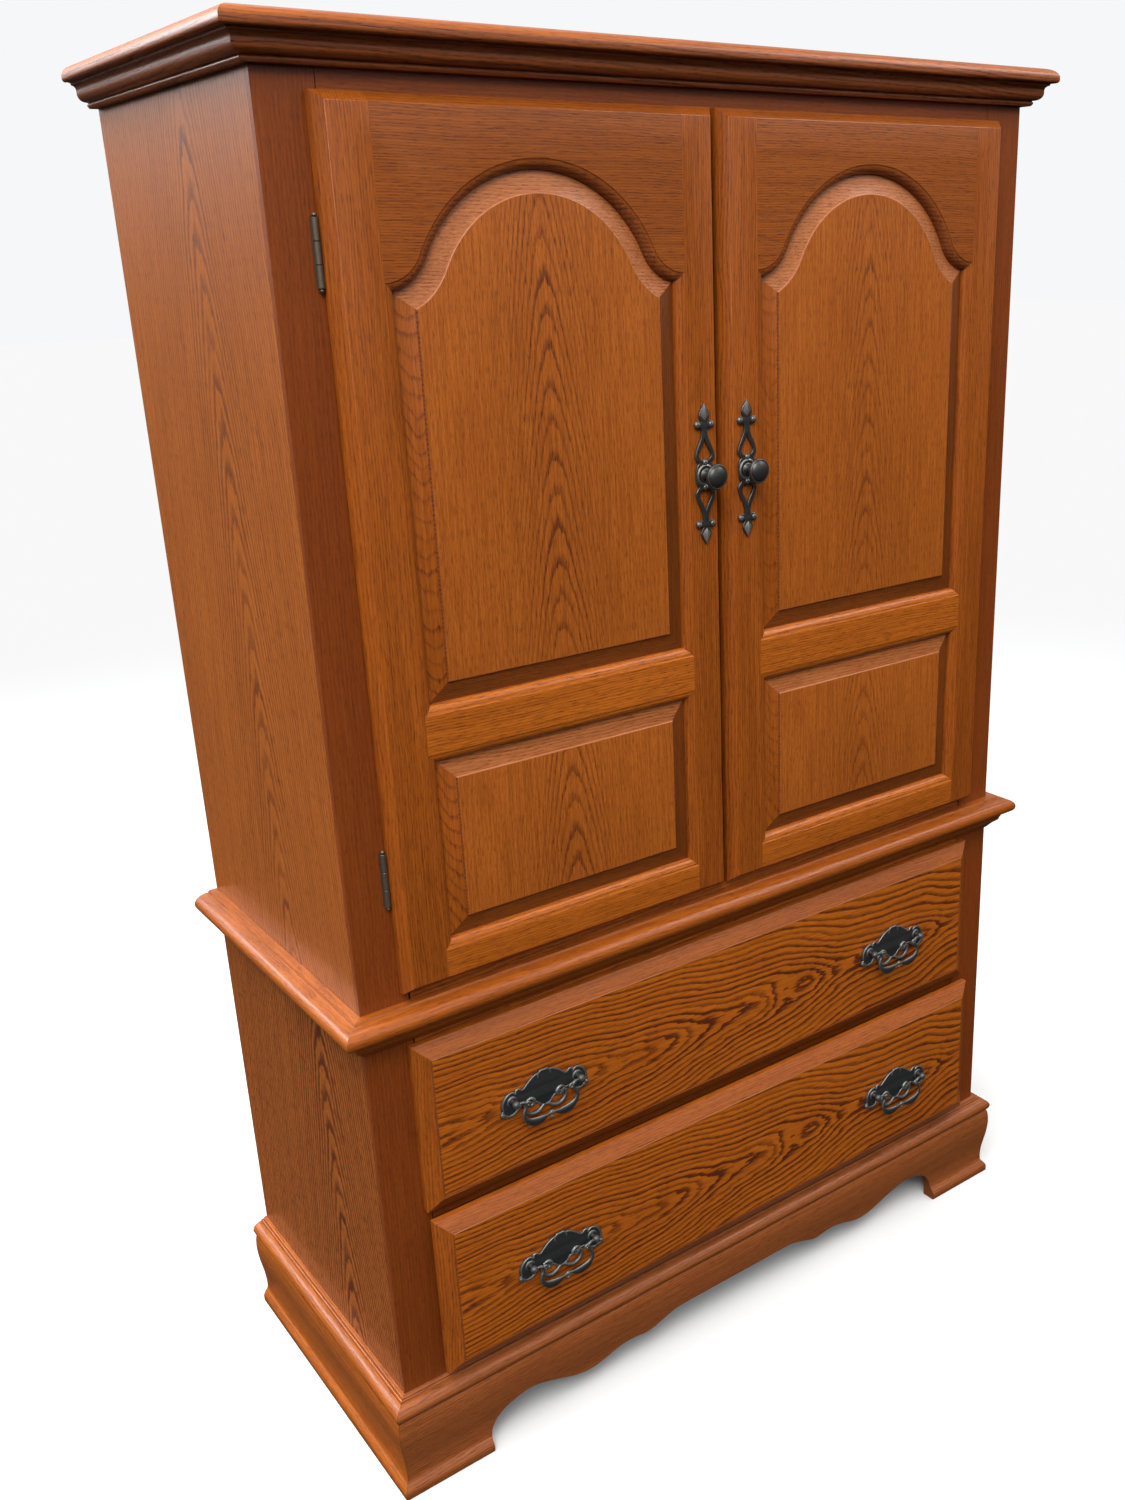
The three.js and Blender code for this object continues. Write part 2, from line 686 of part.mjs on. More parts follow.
function doorFrame(side) {
  const halfWidth = (DOOR_EDGE_X - DOOR_INNER_X) / 2;
  const slab = bevelledSlab(
    halfWidth,
    DOOR_Z,
    DOOR_TOP,
    side * (DOOR_INNER_X + halfWidth),
    -DOOR_BACK_GAP,
    -DOOR_BACK_GAP - DOOR_EDGE,
    DOOR_FACE_Y,
    DOOR_BEVEL,
  );
  const pockets = Object.values(HINGE_HEIGHTS).map((z) =>
    box(
      side * (DOOR_EDGE_X - LEAF_WIDTH + 2 - GAP),
      side * (DOOR_EDGE_X + 1),
      -DOOR_BACK_GAP - LEAF_THICKNESS - GAP,
      0,
      z - HINGE_LENGTH / 2 - GAP,
      z + HINGE_LENGTH / 2 + GAP,
    ),
  );
  return slab
    .subtract(openingCutter(OUTLINES.upper, side))
    .subtract(openingCutter(OUTLINES.lower, side))
    .subtract(union(pockets));
}

// The zone a stile takes: a straight strip, and its moulded edge mitred at each opening's corners.
function stileZone(side, edgeX, outerX, grow) {
  const inward = Math.sign(PANEL_X - edgeX);
  const strips = [
    [LOWER_OPENING_Z, LOWER_OPENING_TOP],
    [UPPER_OPENING_Z, ARCH_SPRING_Z],
  ].map(([low, high]) => {
    const reach = STICKING_WIDTH + 1;
    const outline = [
      v2(edgeX - inward, low - grow - 1),
      v2(edgeX + inward * reach, low + reach - grow),
      v2(edgeX + inward * reach, high - reach + grow),
      v2(edgeX - inward, high + grow + 1),
    ];
    return loft(
      [DOOR_FACE_Y - 1, 1].map((y) => ({
        outline,
        place: (p) => new THREE.Vector3(side * p.x, y, p.y),
      })),
    );
  });
  const straight = box(
    side * Math.min(outerX, edgeX + inward * grow),
    side * Math.max(outerX, edgeX + inward * grow),
    DOOR_FACE_Y - 1,
    1,
    DOOR_Z - 1,
    DOOR_TOP + 1,
  );
  return union([straight, ...strips]);
}

function doorFramePieces(side) {
  const frame = doorFrame(side);
  const stiles = {
    inner: [OPENING_INNER_X, DOOR_INNER_X - 1],
    outer: [OPENING_OUTER_X, DOOR_EDGE_X + 1],
  };
  const rails = {
    bottom: [DOOR_Z - 1, (LOWER_OPENING_Z + LOWER_OPENING_TOP) / 2],
    middle: [(LOWER_OPENING_Z + LOWER_OPENING_TOP) / 2, (UPPER_OPENING_Z + ARCH_SPRING_Z) / 2],
    top: [(UPPER_OPENING_Z + ARCH_SPRING_Z) / 2, DOOR_TOP + 1],
  };
  const taken = union(Object.values(stiles).map(([edge, outer]) => stileZone(side, edge, outer, GAP)));
  const left = frame.subtract(taken);
  const name = sideName(side);
  const stilePieces = Object.entries(stiles).map(([which, [edge, outer]]) =>
    oak(`door_${name}_${which}_stile`, frame.intersect(stileZone(side, edge, outer, 0))),
  );
  const railPieces = Object.entries(rails).map(([which, [low, high]]) =>
    oak(
      `door_${name}_${which}_rail`,
      left.intersect(
        box(side * DOOR_INNER_X, side * DOOR_EDGE_X, DOOR_FACE_Y - 1, 1, low, high),
      ),
    ),
  );
  return [...stilePieces, ...railPieces];
}

function doorPanel(side, which) {
  const tongue = STICKING_WIDTH - PANEL_GROOVE_DEPTH + PANEL_PLAY;
  const tongueFront = GROOVE_FRONT_Y + 2 * GAP;
  const field = STICKING_WIDTH + PANEL_BEVEL;
  const fieldY = DOOR_FACE_Y + PANEL_RECESS;
  return oak(
    `door_${sideName(side)}_${which}_panel`,
    doorLoft(OUTLINES[which], side, [
      [tongue, GROOVE_BACK_Y - 2 * GAP],
      [tongue, tongueFront],
      [STICKING_WIDTH + GAP, tongueFront],
      [field - 0.5, fieldY + 1.2],
      [field, fieldY],
    ]),
  );
}

// A turned mushroom knob on a neck, its axis towards the front.
function knob(side) {
  const reach = KNOB_REACH;
  const points = [
    v2(0, 0),
    v2(6, 0),
    v2(6, 2),
    v2(4.4, 4.5),
    v2(4.8, 9),
    v2(8.5, 12.5),
    v2(KNOB_RADIUS - 1, 15),
    v2(KNOB_RADIUS, 17.5),
    v2(KNOB_RADIUS - 0.8, 20),
    v2(KNOB_RADIUS - 4, reach - 3),
    v2(KNOB_RADIUS - 9, reach - 0.8),
    v2(0, reach),
  ];
  const lathe = new THREE.LatheGeometry(points, 18);
  lathe.rotateX(Math.PI);
  const mesh = pewter(`door_${sideName(side)}_knob`, solidOf(lathe));
  mesh.position.set(
    side * (DOOR_INNER_X + KNOB_INSET),
    DOOR_FACE_Y - KNOB_PLATE_THICKNESS - 2 * GAP,
    DOOR_Z + KNOB_RISE,
  );
  return mesh;
}

// A flat shape in the X-Z plane, from one Y to another nearer the front.
function plateSolid(shape, backY, frontY, curveSteps) {
  const plate = new THREE.ExtrudeGeometry(shape, {
    depth: backY - frontY,
    bevelEnabled: false,
    curveSegments: curveSteps,
  });
  plate.rotateX(Math.PI / 2);
  plate.translate(0, backY, 0);
  return solidOf(plate);
}

// Tall pierced plate: a centre ring, a teardrop loop above and below, and a diamond finial with
// two small balls at each end.
function knobPlate(side) {
  const end = KNOB_PLATE_LENGTH / 2;
  const ring = 13.2;
  const loopTop = end - 33;
  const loopWide = ring + 6;
  const finial = end - 21;
  const half = [
    v2(12.6, 4),
    v2(12.2, 10),
    v2(9.5, ring),
    v2(13, loopWide),
    v2(10.5, loopWide + 10),
    v2(4.6, loopTop),
    v2(3, finial - 4),
  ];
  const edge = smooth(half, 18);
  const crest = [
    v2(6.5, finial - 6),
    v2(12.5, finial - 4),
    v2(13, finial + 2),
    v2(9, finial + 5),
    v2(4, finial + 3),
    v2(7.2, finial + 10),
    v2(2, end - 4),
    v2(0, end),
  ];
  const quarter = [...edge, ...crest];
  const rightUp = quarter;
  const leftUp = quarter.slice(0, -1).map((p) => v2(-p.x, p.y)).reverse();
  const upperHalf = [...rightUp, ...leftUp];
  const lowerHalf = upperHalf.map((p) => v2(-p.x, -p.y));
  const shape = new THREE.Shape([...upperHalf, ...lowerHalf]);
  for (const up of SIDES) {
    const loop = smooth(
      [
        v2(0, up * loopTop),
        v2(-4, up * (loopWide + 12)),
        v2(-7.6, up * (loopWide + 2)),
        v2(-4.5, up * (ring + 2.5)),
        v2(0, up * (ring + 4)),
        v2(4.5, up * (ring + 2.5)),
        v2(7.6, up * (loopWide + 2)),
        v2(4, up * (loopWide + 12)),
        v2(0, up * loopTop),
      ],
      20,
    );
    shape.holes.push(new THREE.Path(loop.slice(0, -1)));
  }
  const mesh = pewter(
    `door_${sideName(side)}_knob_plate`,
    plateSolid(shape, 0, -KNOB_PLATE_THICKNESS, 1),
  );
  mesh.position.set(side * (DOOR_INNER_X + KNOB_INSET), DOOR_FACE_Y - GAP, DOOR_Z + KNOB_RISE);
  return mesh;
}

function door(side) {
  const group = new THREE.Group();
  group.add(...doorFramePieces(side));
  group.add(doorPanel(side, 'upper'), doorPanel(side, 'lower'));
  group.add(knobPlate(side), knob(side));
  for (const [level, z] of Object.entries(HINGE_HEIGHTS)) {
    group.add(bronze(`door_${sideName(side)}_${level}_hinge_door_leaf`, doorLeaf(side, z)));
  }
  return group;
}

// ---------- Drawers, drawn closed with the front's lower edge at Z = 0 ----------

const DRAWER_FACE_Y = -DRAWER_BACK_GAP - DRAWER_FRONT_THICKNESS;
const DRAWER_FRONT_HALF = OPENING_HALF + DRAWER_OVERLAY;
const DRAWER_BOX_HALF = OPENING_HALF - DRAWER_SIDE_PLAY;
const DRAWER_BOX_Z = DRAWER_OVERLAY + DRAWER_RUN_GAP;
const DRAWER_BOX_TOP = DRAWER_HEIGHT - DRAWER_OVERLAY - DRAWER_TOP_PLAY;
const DRAWER_BOX_DEPTH = BACK_Y - DRAWER_REAR_PLAY;
const DRAWER_GROOVE = DRAWER_WALL / 2;

function drawerBoards(name) {
  const front = bevelledSlab(
    DRAWER_FRONT_HALF,
    0,
    DRAWER_HEIGHT,
    0,
    -DRAWER_BACK_GAP,
    DRAWER_FACE_Y + DRAWER_BEVEL_DEPTH,
    DRAWER_FACE_Y,
    DRAWER_BEVEL,
  );
  const start = -DRAWER_BACK_GAP + GAP;
  const bottomZ = DRAWER_BOX_Z + DRAWER_BOTTOM_RISE;
  const bottomHalf = DRAWER_BOX_HALF - DRAWER_WALL + DRAWER_GROOVE;
  const groove = box(
    -bottomHalf - GAP,
    bottomHalf + GAP,
    start - 1,
    DRAWER_BOX_DEPTH - DRAWER_WALL + DRAWER_GROOVE + GAP,
    bottomZ - GAP,
    bottomZ + DRAWER_BOTTOM + GAP,
  );
  const backReach = DRAWER_BOX_HALF - DRAWER_WALL - GAP;
  const back = box(
    -backReach,
    backReach,
    DRAWER_BOX_DEPTH - DRAWER_WALL,
    DRAWER_BOX_DEPTH,
    DRAWER_BOX_Z,
    DRAWER_BOX_TOP,
  );
  const bottom = box(
    -bottomHalf,
    bottomHalf,
    start,
    DRAWER_BOX_DEPTH - DRAWER_WALL + DRAWER_GROOVE,
    bottomZ,
    bottomZ + DRAWER_BOTTOM,
  );
  const sides = SIDES.map((side) => {
    const wall = box(
      side * (DRAWER_BOX_HALF - DRAWER_WALL),
      side * DRAWER_BOX_HALF,
      start,
      DRAWER_BOX_DEPTH,
      DRAWER_BOX_Z,
      DRAWER_BOX_TOP,
    );
    return rawOak(`${name}_side_${sideName(side)}`, wall.subtract(groove));
  });
  return [
    oak(`${name}_front`, front),
    ...sides,
    rawOak(`${name}_back`, back.subtract(groove)),
    rawOak(`${name}_bottom`, bottom),
  ];
}

// One side of the pull plate's scalloped edge: crest, shoulder and ear, then the lower scrolls.
function pullPlateShape() {
  const crest = smooth([v2(0, 26), v2(4, 25.7), v2(7, 24)], 3);
  const shoulder = smooth([v2(8.4, 23.6), v2(15, 20.8), v2(21, 15), v2(28, 9.4), v2(32, 12)], 7);
  const ear = smooth([v2(39, 7.5), v2(43, 10.5), v2(50, 9.2), v2(55.5, 3.5), v2(57, -5)], 6);
  const lobe = smooth([v2(56.2, -9.5), v2(60, -13), v2(58.6, -17.5), v2(53, -18.5)], 5);
  const lower = smooth(
    [v2(48, -20.5), v2(41, -16.5), v2(36, -9), v2(29, -8.4), v2(24, -16), v2(16, -21), v2(9, -24), v2(0, -21)],
    12,
  );
  const half = [...crest, v2(6.8, 20.5), ...shoulder, v2(37, 6.5), ...ear, ...lobe, ...lower];
  const mirrored = half.slice(1, -1).map((p) => v2(-p.x, p.y)).reverse();
  return new THREE.Shape([...half, ...mirrored]);
}

// The plate with its two posts. Each post's round head has a hole for the bail's pin.
function pullPlate(name) {
  const plate = plateSolid(pullPlateShape(), 0, -PULL_PLATE_THICKNESS, 1);
  const neck = 2.6;
  const headBack = BAIL_STAND_OFF - POST_HEAD_RADIUS;
  const posts = SIDES.map((side) => {
    const head = arcPoints(0, BAIL_STAND_OFF, POST_HEAD_RADIUS, -Math.PI / 3, Math.PI / 2, 5);
    const points = [v2(0, 1), v2(5, 1), v2(4.6, 3.4), v2(neck, 4.6), v2(neck, headBack), ...head];
    points[points.length - 1] = v2(0, BAIL_STAND_OFF + POST_HEAD_RADIUS);
    const post = new THREE.LatheGeometry(points, 10);
    post.rotateX(Math.PI);
    post.translate((side * POST_SPACING) / 2, 0, 0);
    const hole = new THREE.CylinderGeometry(
      BAIL_PIN_RADIUS + GAP,
      BAIL_PIN_RADIUS + GAP,
      BAIL_PIN_LENGTH + GAP,
      10,
    );
    hole.rotateZ(Math.PI / 2);
    hole.translate(side * (POST_SPACING / 2 - BAIL_PIN_LENGTH / 2), -BAIL_STAND_OFF, 0);
    return solidOf(post).subtract(solidOf(hole));
  });
  return pewter(name, union([plate, ...posts]));
}
const BAIL_PIN_LENGTH = POST_HEAD_RADIUS + 1;

// The hanging bail: a pin at each end, arms that curl down and two shallow lobes. Its own origin
// is the pivot line.
function bail(name) {
  const pin = POST_SPACING / 2;
  const half = [
    new THREE.Vector3(pin - BAIL_PIN_LENGTH + 0.5, 0, 0),
    new THREE.Vector3(33, -0.6, -1.4),
    new THREE.Vector3(33.2, -1.6, -8),
    new THREE.Vector3(36.5, -2.4, -15),
    new THREE.Vector3(34, -3, -24),
    new THREE.Vector3(26, -3, -BAIL_DROP),
    new THREE.Vector3(15, -3, -BAIL_DROP),
    new THREE.Vector3(7, -3, -27.5),
    new THREE.Vector3(0, -3, -28.5),
  ];
  const other = half.slice(0, -1).map((p) => new THREE.Vector3(-p.x, p.y, p.z)).reverse();
  const path = new THREE.CatmullRomCurve3([...half, ...other]);
  const section = new THREE.Shape(arcPoints(0, 0, BAIL_RADIUS, 0, 2 * Math.PI, 6).slice(0, -1));
  const rod = new THREE.ExtrudeGeometry(section, { steps: 32, bevelEnabled: false, extrudePath: path });
  const pins = SIDES.map((side) => {
    const cylinder = new THREE.CylinderGeometry(BAIL_PIN_RADIUS, BAIL_PIN_RADIUS, BAIL_PIN_LENGTH, 8);
    cylinder.rotateZ(Math.PI / 2);
    cylinder.translate(side * (pin - BAIL_PIN_LENGTH / 2 - GAP), 0, 0);
    return solidOf(cylinder);
  });
  return pewter(name, union([solidOf(rod), ...pins]));
}

function drawer(name, z, pulledOut) {
  const group = new THREE.Group();
  group.add(...drawerBoards(name));
  for (const side of SIDES) {
    const at = new THREE.Vector3((side * PULL_SPREAD) / 2, DRAWER_FACE_Y - GAP, DRAWER_HEIGHT / 2);
    const plate = pullPlate(`${name}_pull_plate_${sideName(side)}`);
    plate.position.copy(at);
    const ring = bail(`${name}_bail_${sideName(side)}`);
    ring.position.copy(at).add(new THREE.Vector3(0, -BAIL_STAND_OFF, 0));
    group.add(plate, ring);
  }
  group.position.set(0, -pulledOut, z);
  return group;
}

// ---------- The whole piece ----------

const armoire = new THREE.Group();
armoire.add(...SIDES.map(sidePanel), ...SIDES.map(frameStile), frameTopRail());
armoire.add(...carcassBoards(), ...mouldings());
for (const side of SIDES) {
  for (const [level, z] of Object.entries(HINGE_HEIGHTS)) {
    armoire.add(bronze(`door_${sideName(side)}_${level}_hinge_frame_leaf`, frameLeaf(side, z)));
  }
  armoire.add(door(side));
}
armoire.add(drawer('drawer_upper', UPPER_DRAWER_Z, 0));
armoire.add(drawer('drawer_lower', LOWER_DRAWER_Z, DRAWER_PULLED_OUT));

// The origin is under the middle of the whole box, on the floor.
const bounds = new THREE.Box3().setFromObject(armoire);
const middle = bounds.getCenter(new THREE.Vector3());
armoire.position.set(-middle.x, -middle.y, -bounds.min.z);

export default armoire;
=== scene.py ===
import math

import bmesh
import bpy
from mathutils import Matrix, Vector


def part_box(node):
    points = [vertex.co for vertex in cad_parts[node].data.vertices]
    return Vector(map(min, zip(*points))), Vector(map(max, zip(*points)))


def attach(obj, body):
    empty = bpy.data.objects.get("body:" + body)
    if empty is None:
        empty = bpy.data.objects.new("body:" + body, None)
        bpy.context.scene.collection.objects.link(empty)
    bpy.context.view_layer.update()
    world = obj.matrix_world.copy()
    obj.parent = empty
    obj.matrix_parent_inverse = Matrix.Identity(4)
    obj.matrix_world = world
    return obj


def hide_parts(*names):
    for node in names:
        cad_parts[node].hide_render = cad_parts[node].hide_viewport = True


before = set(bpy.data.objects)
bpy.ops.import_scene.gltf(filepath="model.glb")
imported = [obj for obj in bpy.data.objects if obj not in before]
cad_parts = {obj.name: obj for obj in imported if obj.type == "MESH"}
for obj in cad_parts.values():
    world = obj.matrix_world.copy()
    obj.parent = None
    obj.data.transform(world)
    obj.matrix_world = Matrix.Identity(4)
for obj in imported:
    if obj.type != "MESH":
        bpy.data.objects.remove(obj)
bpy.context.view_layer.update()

# ---------- Frame: shapes are drawn in mm, with Y = 0 on the face frame's front ----------

MM = 0.001
CASE_DEPTH = 424
FACE_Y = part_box("back_panel")[1].y / MM - CASE_DEPTH  # row-frame Y of the face frame's front


def cad(node):
    """Lowest and highest corner of a CAD node, in mm from the face frame's front."""
    return [(x / MM, y / MM - FACE_Y, z / MM) for x, y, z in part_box(node)]


HALF = cad("top_board")[1][0]
CROWN_Z = cad("crown_moulding")[0][2]
WAIST_Z = cad("waist_moulding")[0][2]
BASE_TOP = cad("base_front")[1][2]
CROWN_REACH = cad("crown_moulding")[1][0] - HALF
WAIST_REACH = cad("waist_moulding")[1][0] - HALF
GAP = 0.3
SIDES = {"left": -1, "right": 1}

# ---------- Mesh helpers ----------


def finish_mesh(name, mesh, materials, body, nodes=(), angle=32):
    """Welds and shades a mesh and adds it as a piece that rides on a body and replaces CAD nodes."""
    bm = bmesh.new()
    bm.from_mesh(mesh)
    bmesh.ops.remove_doubles(bm, verts=bm.verts, dist=2e-6)
    bmesh.ops.dissolve_degenerate(bm, edges=bm.edges, dist=1e-6)
    bmesh.ops.recalc_face_normals(bm, faces=bm.faces)
    bm.to_mesh(mesh)
    bm.free()
    mesh.polygons.foreach_set("use_smooth", [True] * len(mesh.polygons))
    mesh.set_sharp_from_angle(angle=math.radians(angle))
    if not mesh.materials:
        for material in materials:
            mesh.materials.append(material)
    piece = bpy.data.objects.new(name, mesh)
    bpy.context.scene.collection.objects.link(piece)
    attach(piece, body)
    if nodes:
        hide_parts(*nodes)
    return piece


def row(point):
    """A point in mm from the face frame's front, as metres in the shared frame."""
    x, y, z = point
    return (x * MM, (y + FACE_Y) * MM, z * MM)


def mesh_from(name, verts, faces, face_materials=None):
    mesh = bpy.data.meshes.new(name)
    mesh.from_pydata([row(v) for v in verts], [], faces)
    if face_materials:
        mesh.polygons.foreach_set("material_index", face_materials)
    return mesh


def loft(rings, caps=True, tags=None):
    """Vertices, faces and a material index per face, through rings of points of equal count."""
    count = len(rings[0])
    verts = [p for ring in rings for p in ring]
    faces, indices = [], []
    for r in range(len(rings) - 1):
        for i in range(count):
            j = (i + 1) % count
            faces.append((r * count + i, r * count + j, (r + 1) * count + j, (r + 1) * count + i))
            indices.append(tags(r, i) if tags else 0)
    if caps:
        faces.append(tuple(range(count)))
        faces.append(tuple((len(rings) - 1) * count + i for i in range(count)))
        indices += [tags(0, None), tags(len(rings) - 2, None)] if tags else [0, 0]
    return verts, faces, indices


def arc(cx, cz, radius, start, end, steps, squash=1.0):
    """Points on an arc between two angles in degrees, both included."""
    points = []
    for i in range(steps + 1):
        a = math.radians(start + (end - start) * i / steps)
        points.append((cx + radius * math.cos(a), cz + radius * squash * math.sin(a)))
    return points


def smooth(points, per_span=6):
    """A Catmull-Rom curve through points of any dimension."""
    last = len(points) - 1
    out = []
    for s in range(last):
        around = [points[min(max(s + k, 0), last)] for k in (-1, 0, 1, 2)]
        for k in range(per_span):
            t = k / per_span
            place = []
            for a, b, c, d in zip(*around):
                curve = 2 * b + (c - a) * t
                curve += (2 * a - 5 * b + 4 * c - d) * t * t
                curve += (3 * b - a - 3 * c + d) * t**3
                place.append(curve / 2)
            out.append(tuple(place))
    out.append(tuple(points[-1]))
    return out


def mirror(half):
    """A closed symmetric outline from its right half, which starts and ends on the middle line."""
    inner = [(-x, z) for x, z in half[1:-1]]
    return half + inner[::-1]


# ---------- Materials ----------


class Graph:
    """A small helper for building the nodes of a material or a world."""

    def __init__(self, owner, shader="Principled BSDF"):
        owner.use_nodes = True
        self.owner = owner
        self.tree = owner.node_tree
        self.shader = self.tree.nodes[shader]

    def node(self, kind, inputs=(), **settings):
        made = self.tree.nodes.new("ShaderNode" + kind)
        for key, value in settings.items():
            setattr(made, key, value)
        for key, value in dict(inputs).items():
            self.put(made.inputs[key], value)
        return made

    def put(self, socket, value):
        if isinstance(value, bpy.types.NodeSocket):
            self.tree.links.new(value, socket)
        else:
            socket.default_value = value

    def math(self, operation, a, b=0.0):
        return self.node("Math", {0: a, 1: b}, operation=operation).outputs[0]

    def add(self, a, b):
        return self.math("ADD", a, b)

    def times(self, a, b):
        return self.math("MULTIPLY", a, b)

    def off_half(self, a):
        return self.math("SUBTRACT", a, 0.5)

    def bell(self, a):
        """exp(-a squared), which is 1 at 0 and fades out on both sides."""
        return self.math("EXPONENT", self.times(self.times(a, a), -1.0))

    def remap(self, value, lo, hi, to_lo=0.0, to_hi=1.0):
        made = self.node("MapRange", {0: value, 1: lo, 2: hi, 3: to_lo, 4: to_hi})
        made.interpolation_type = "SMOOTHSTEP"
        return made.outputs[0]

    def combine(self, x, y, z):
        return self.node("CombineXYZ", {0: x, 1: y, 2: z}).outputs[0]

    def noise(self, vector, detail=2.0, roughness=0.5, scale=1.0):
        made = self.node(
            "TexNoise", {"Vector": vector, "Scale": scale, "Detail": detail, "Roughness": roughness}
        )
        return made.outputs[0]

    def mix(self, factor, a, b):
        made = self.node("Mix", data_type="RGBA")
        self.put(made.inputs[0], factor)
        self.put(made.inputs[6], a)
        self.put(made.inputs[7], b)
        return made.outputs[2]

    def curve(self, value, points):
        """The value put through a curve that starts at the first point and ends at the last."""
        made = self.node("FloatCurve", {1: value})
        line = made.mapping.curves[0]
        for i, (x, y) in enumerate(points):
            if i < 2:
                line.points[i].location = (x, y)
            else:
                line.points.new(x, y)
        made.mapping.update()
        return made.outputs[0]

    def set(self, **values):
        for key, value in values.items():
            self.put(self.shader.inputs[key.replace("_", " ")], value)

    def bump(self, height, distance, strength=1.0):
        made = self.node("Bump", {"Height": height, "Distance": distance, "Strength": strength})
        self.put(self.shader.inputs["Normal"], made.outputs[0])


OAK_LIGHT = (0.46, 0.122, 0.015, 1)
OAK_MID = (0.28, 0.067, 0.008, 1)
OAK_DARK = (0.095, 0.017, 0.002, 1)
JAG_REACH = 0.03  # how far from the pith line, in metres, the rings are ragged
STILL = 0.4  # how far along a drawn figure's climb the fade leaves the rings in place
RAIL_LIGHT = (0.39, 0.096, 0.009, 1)
RAIL_MID = (0.27, 0.062, 0.006, 1)


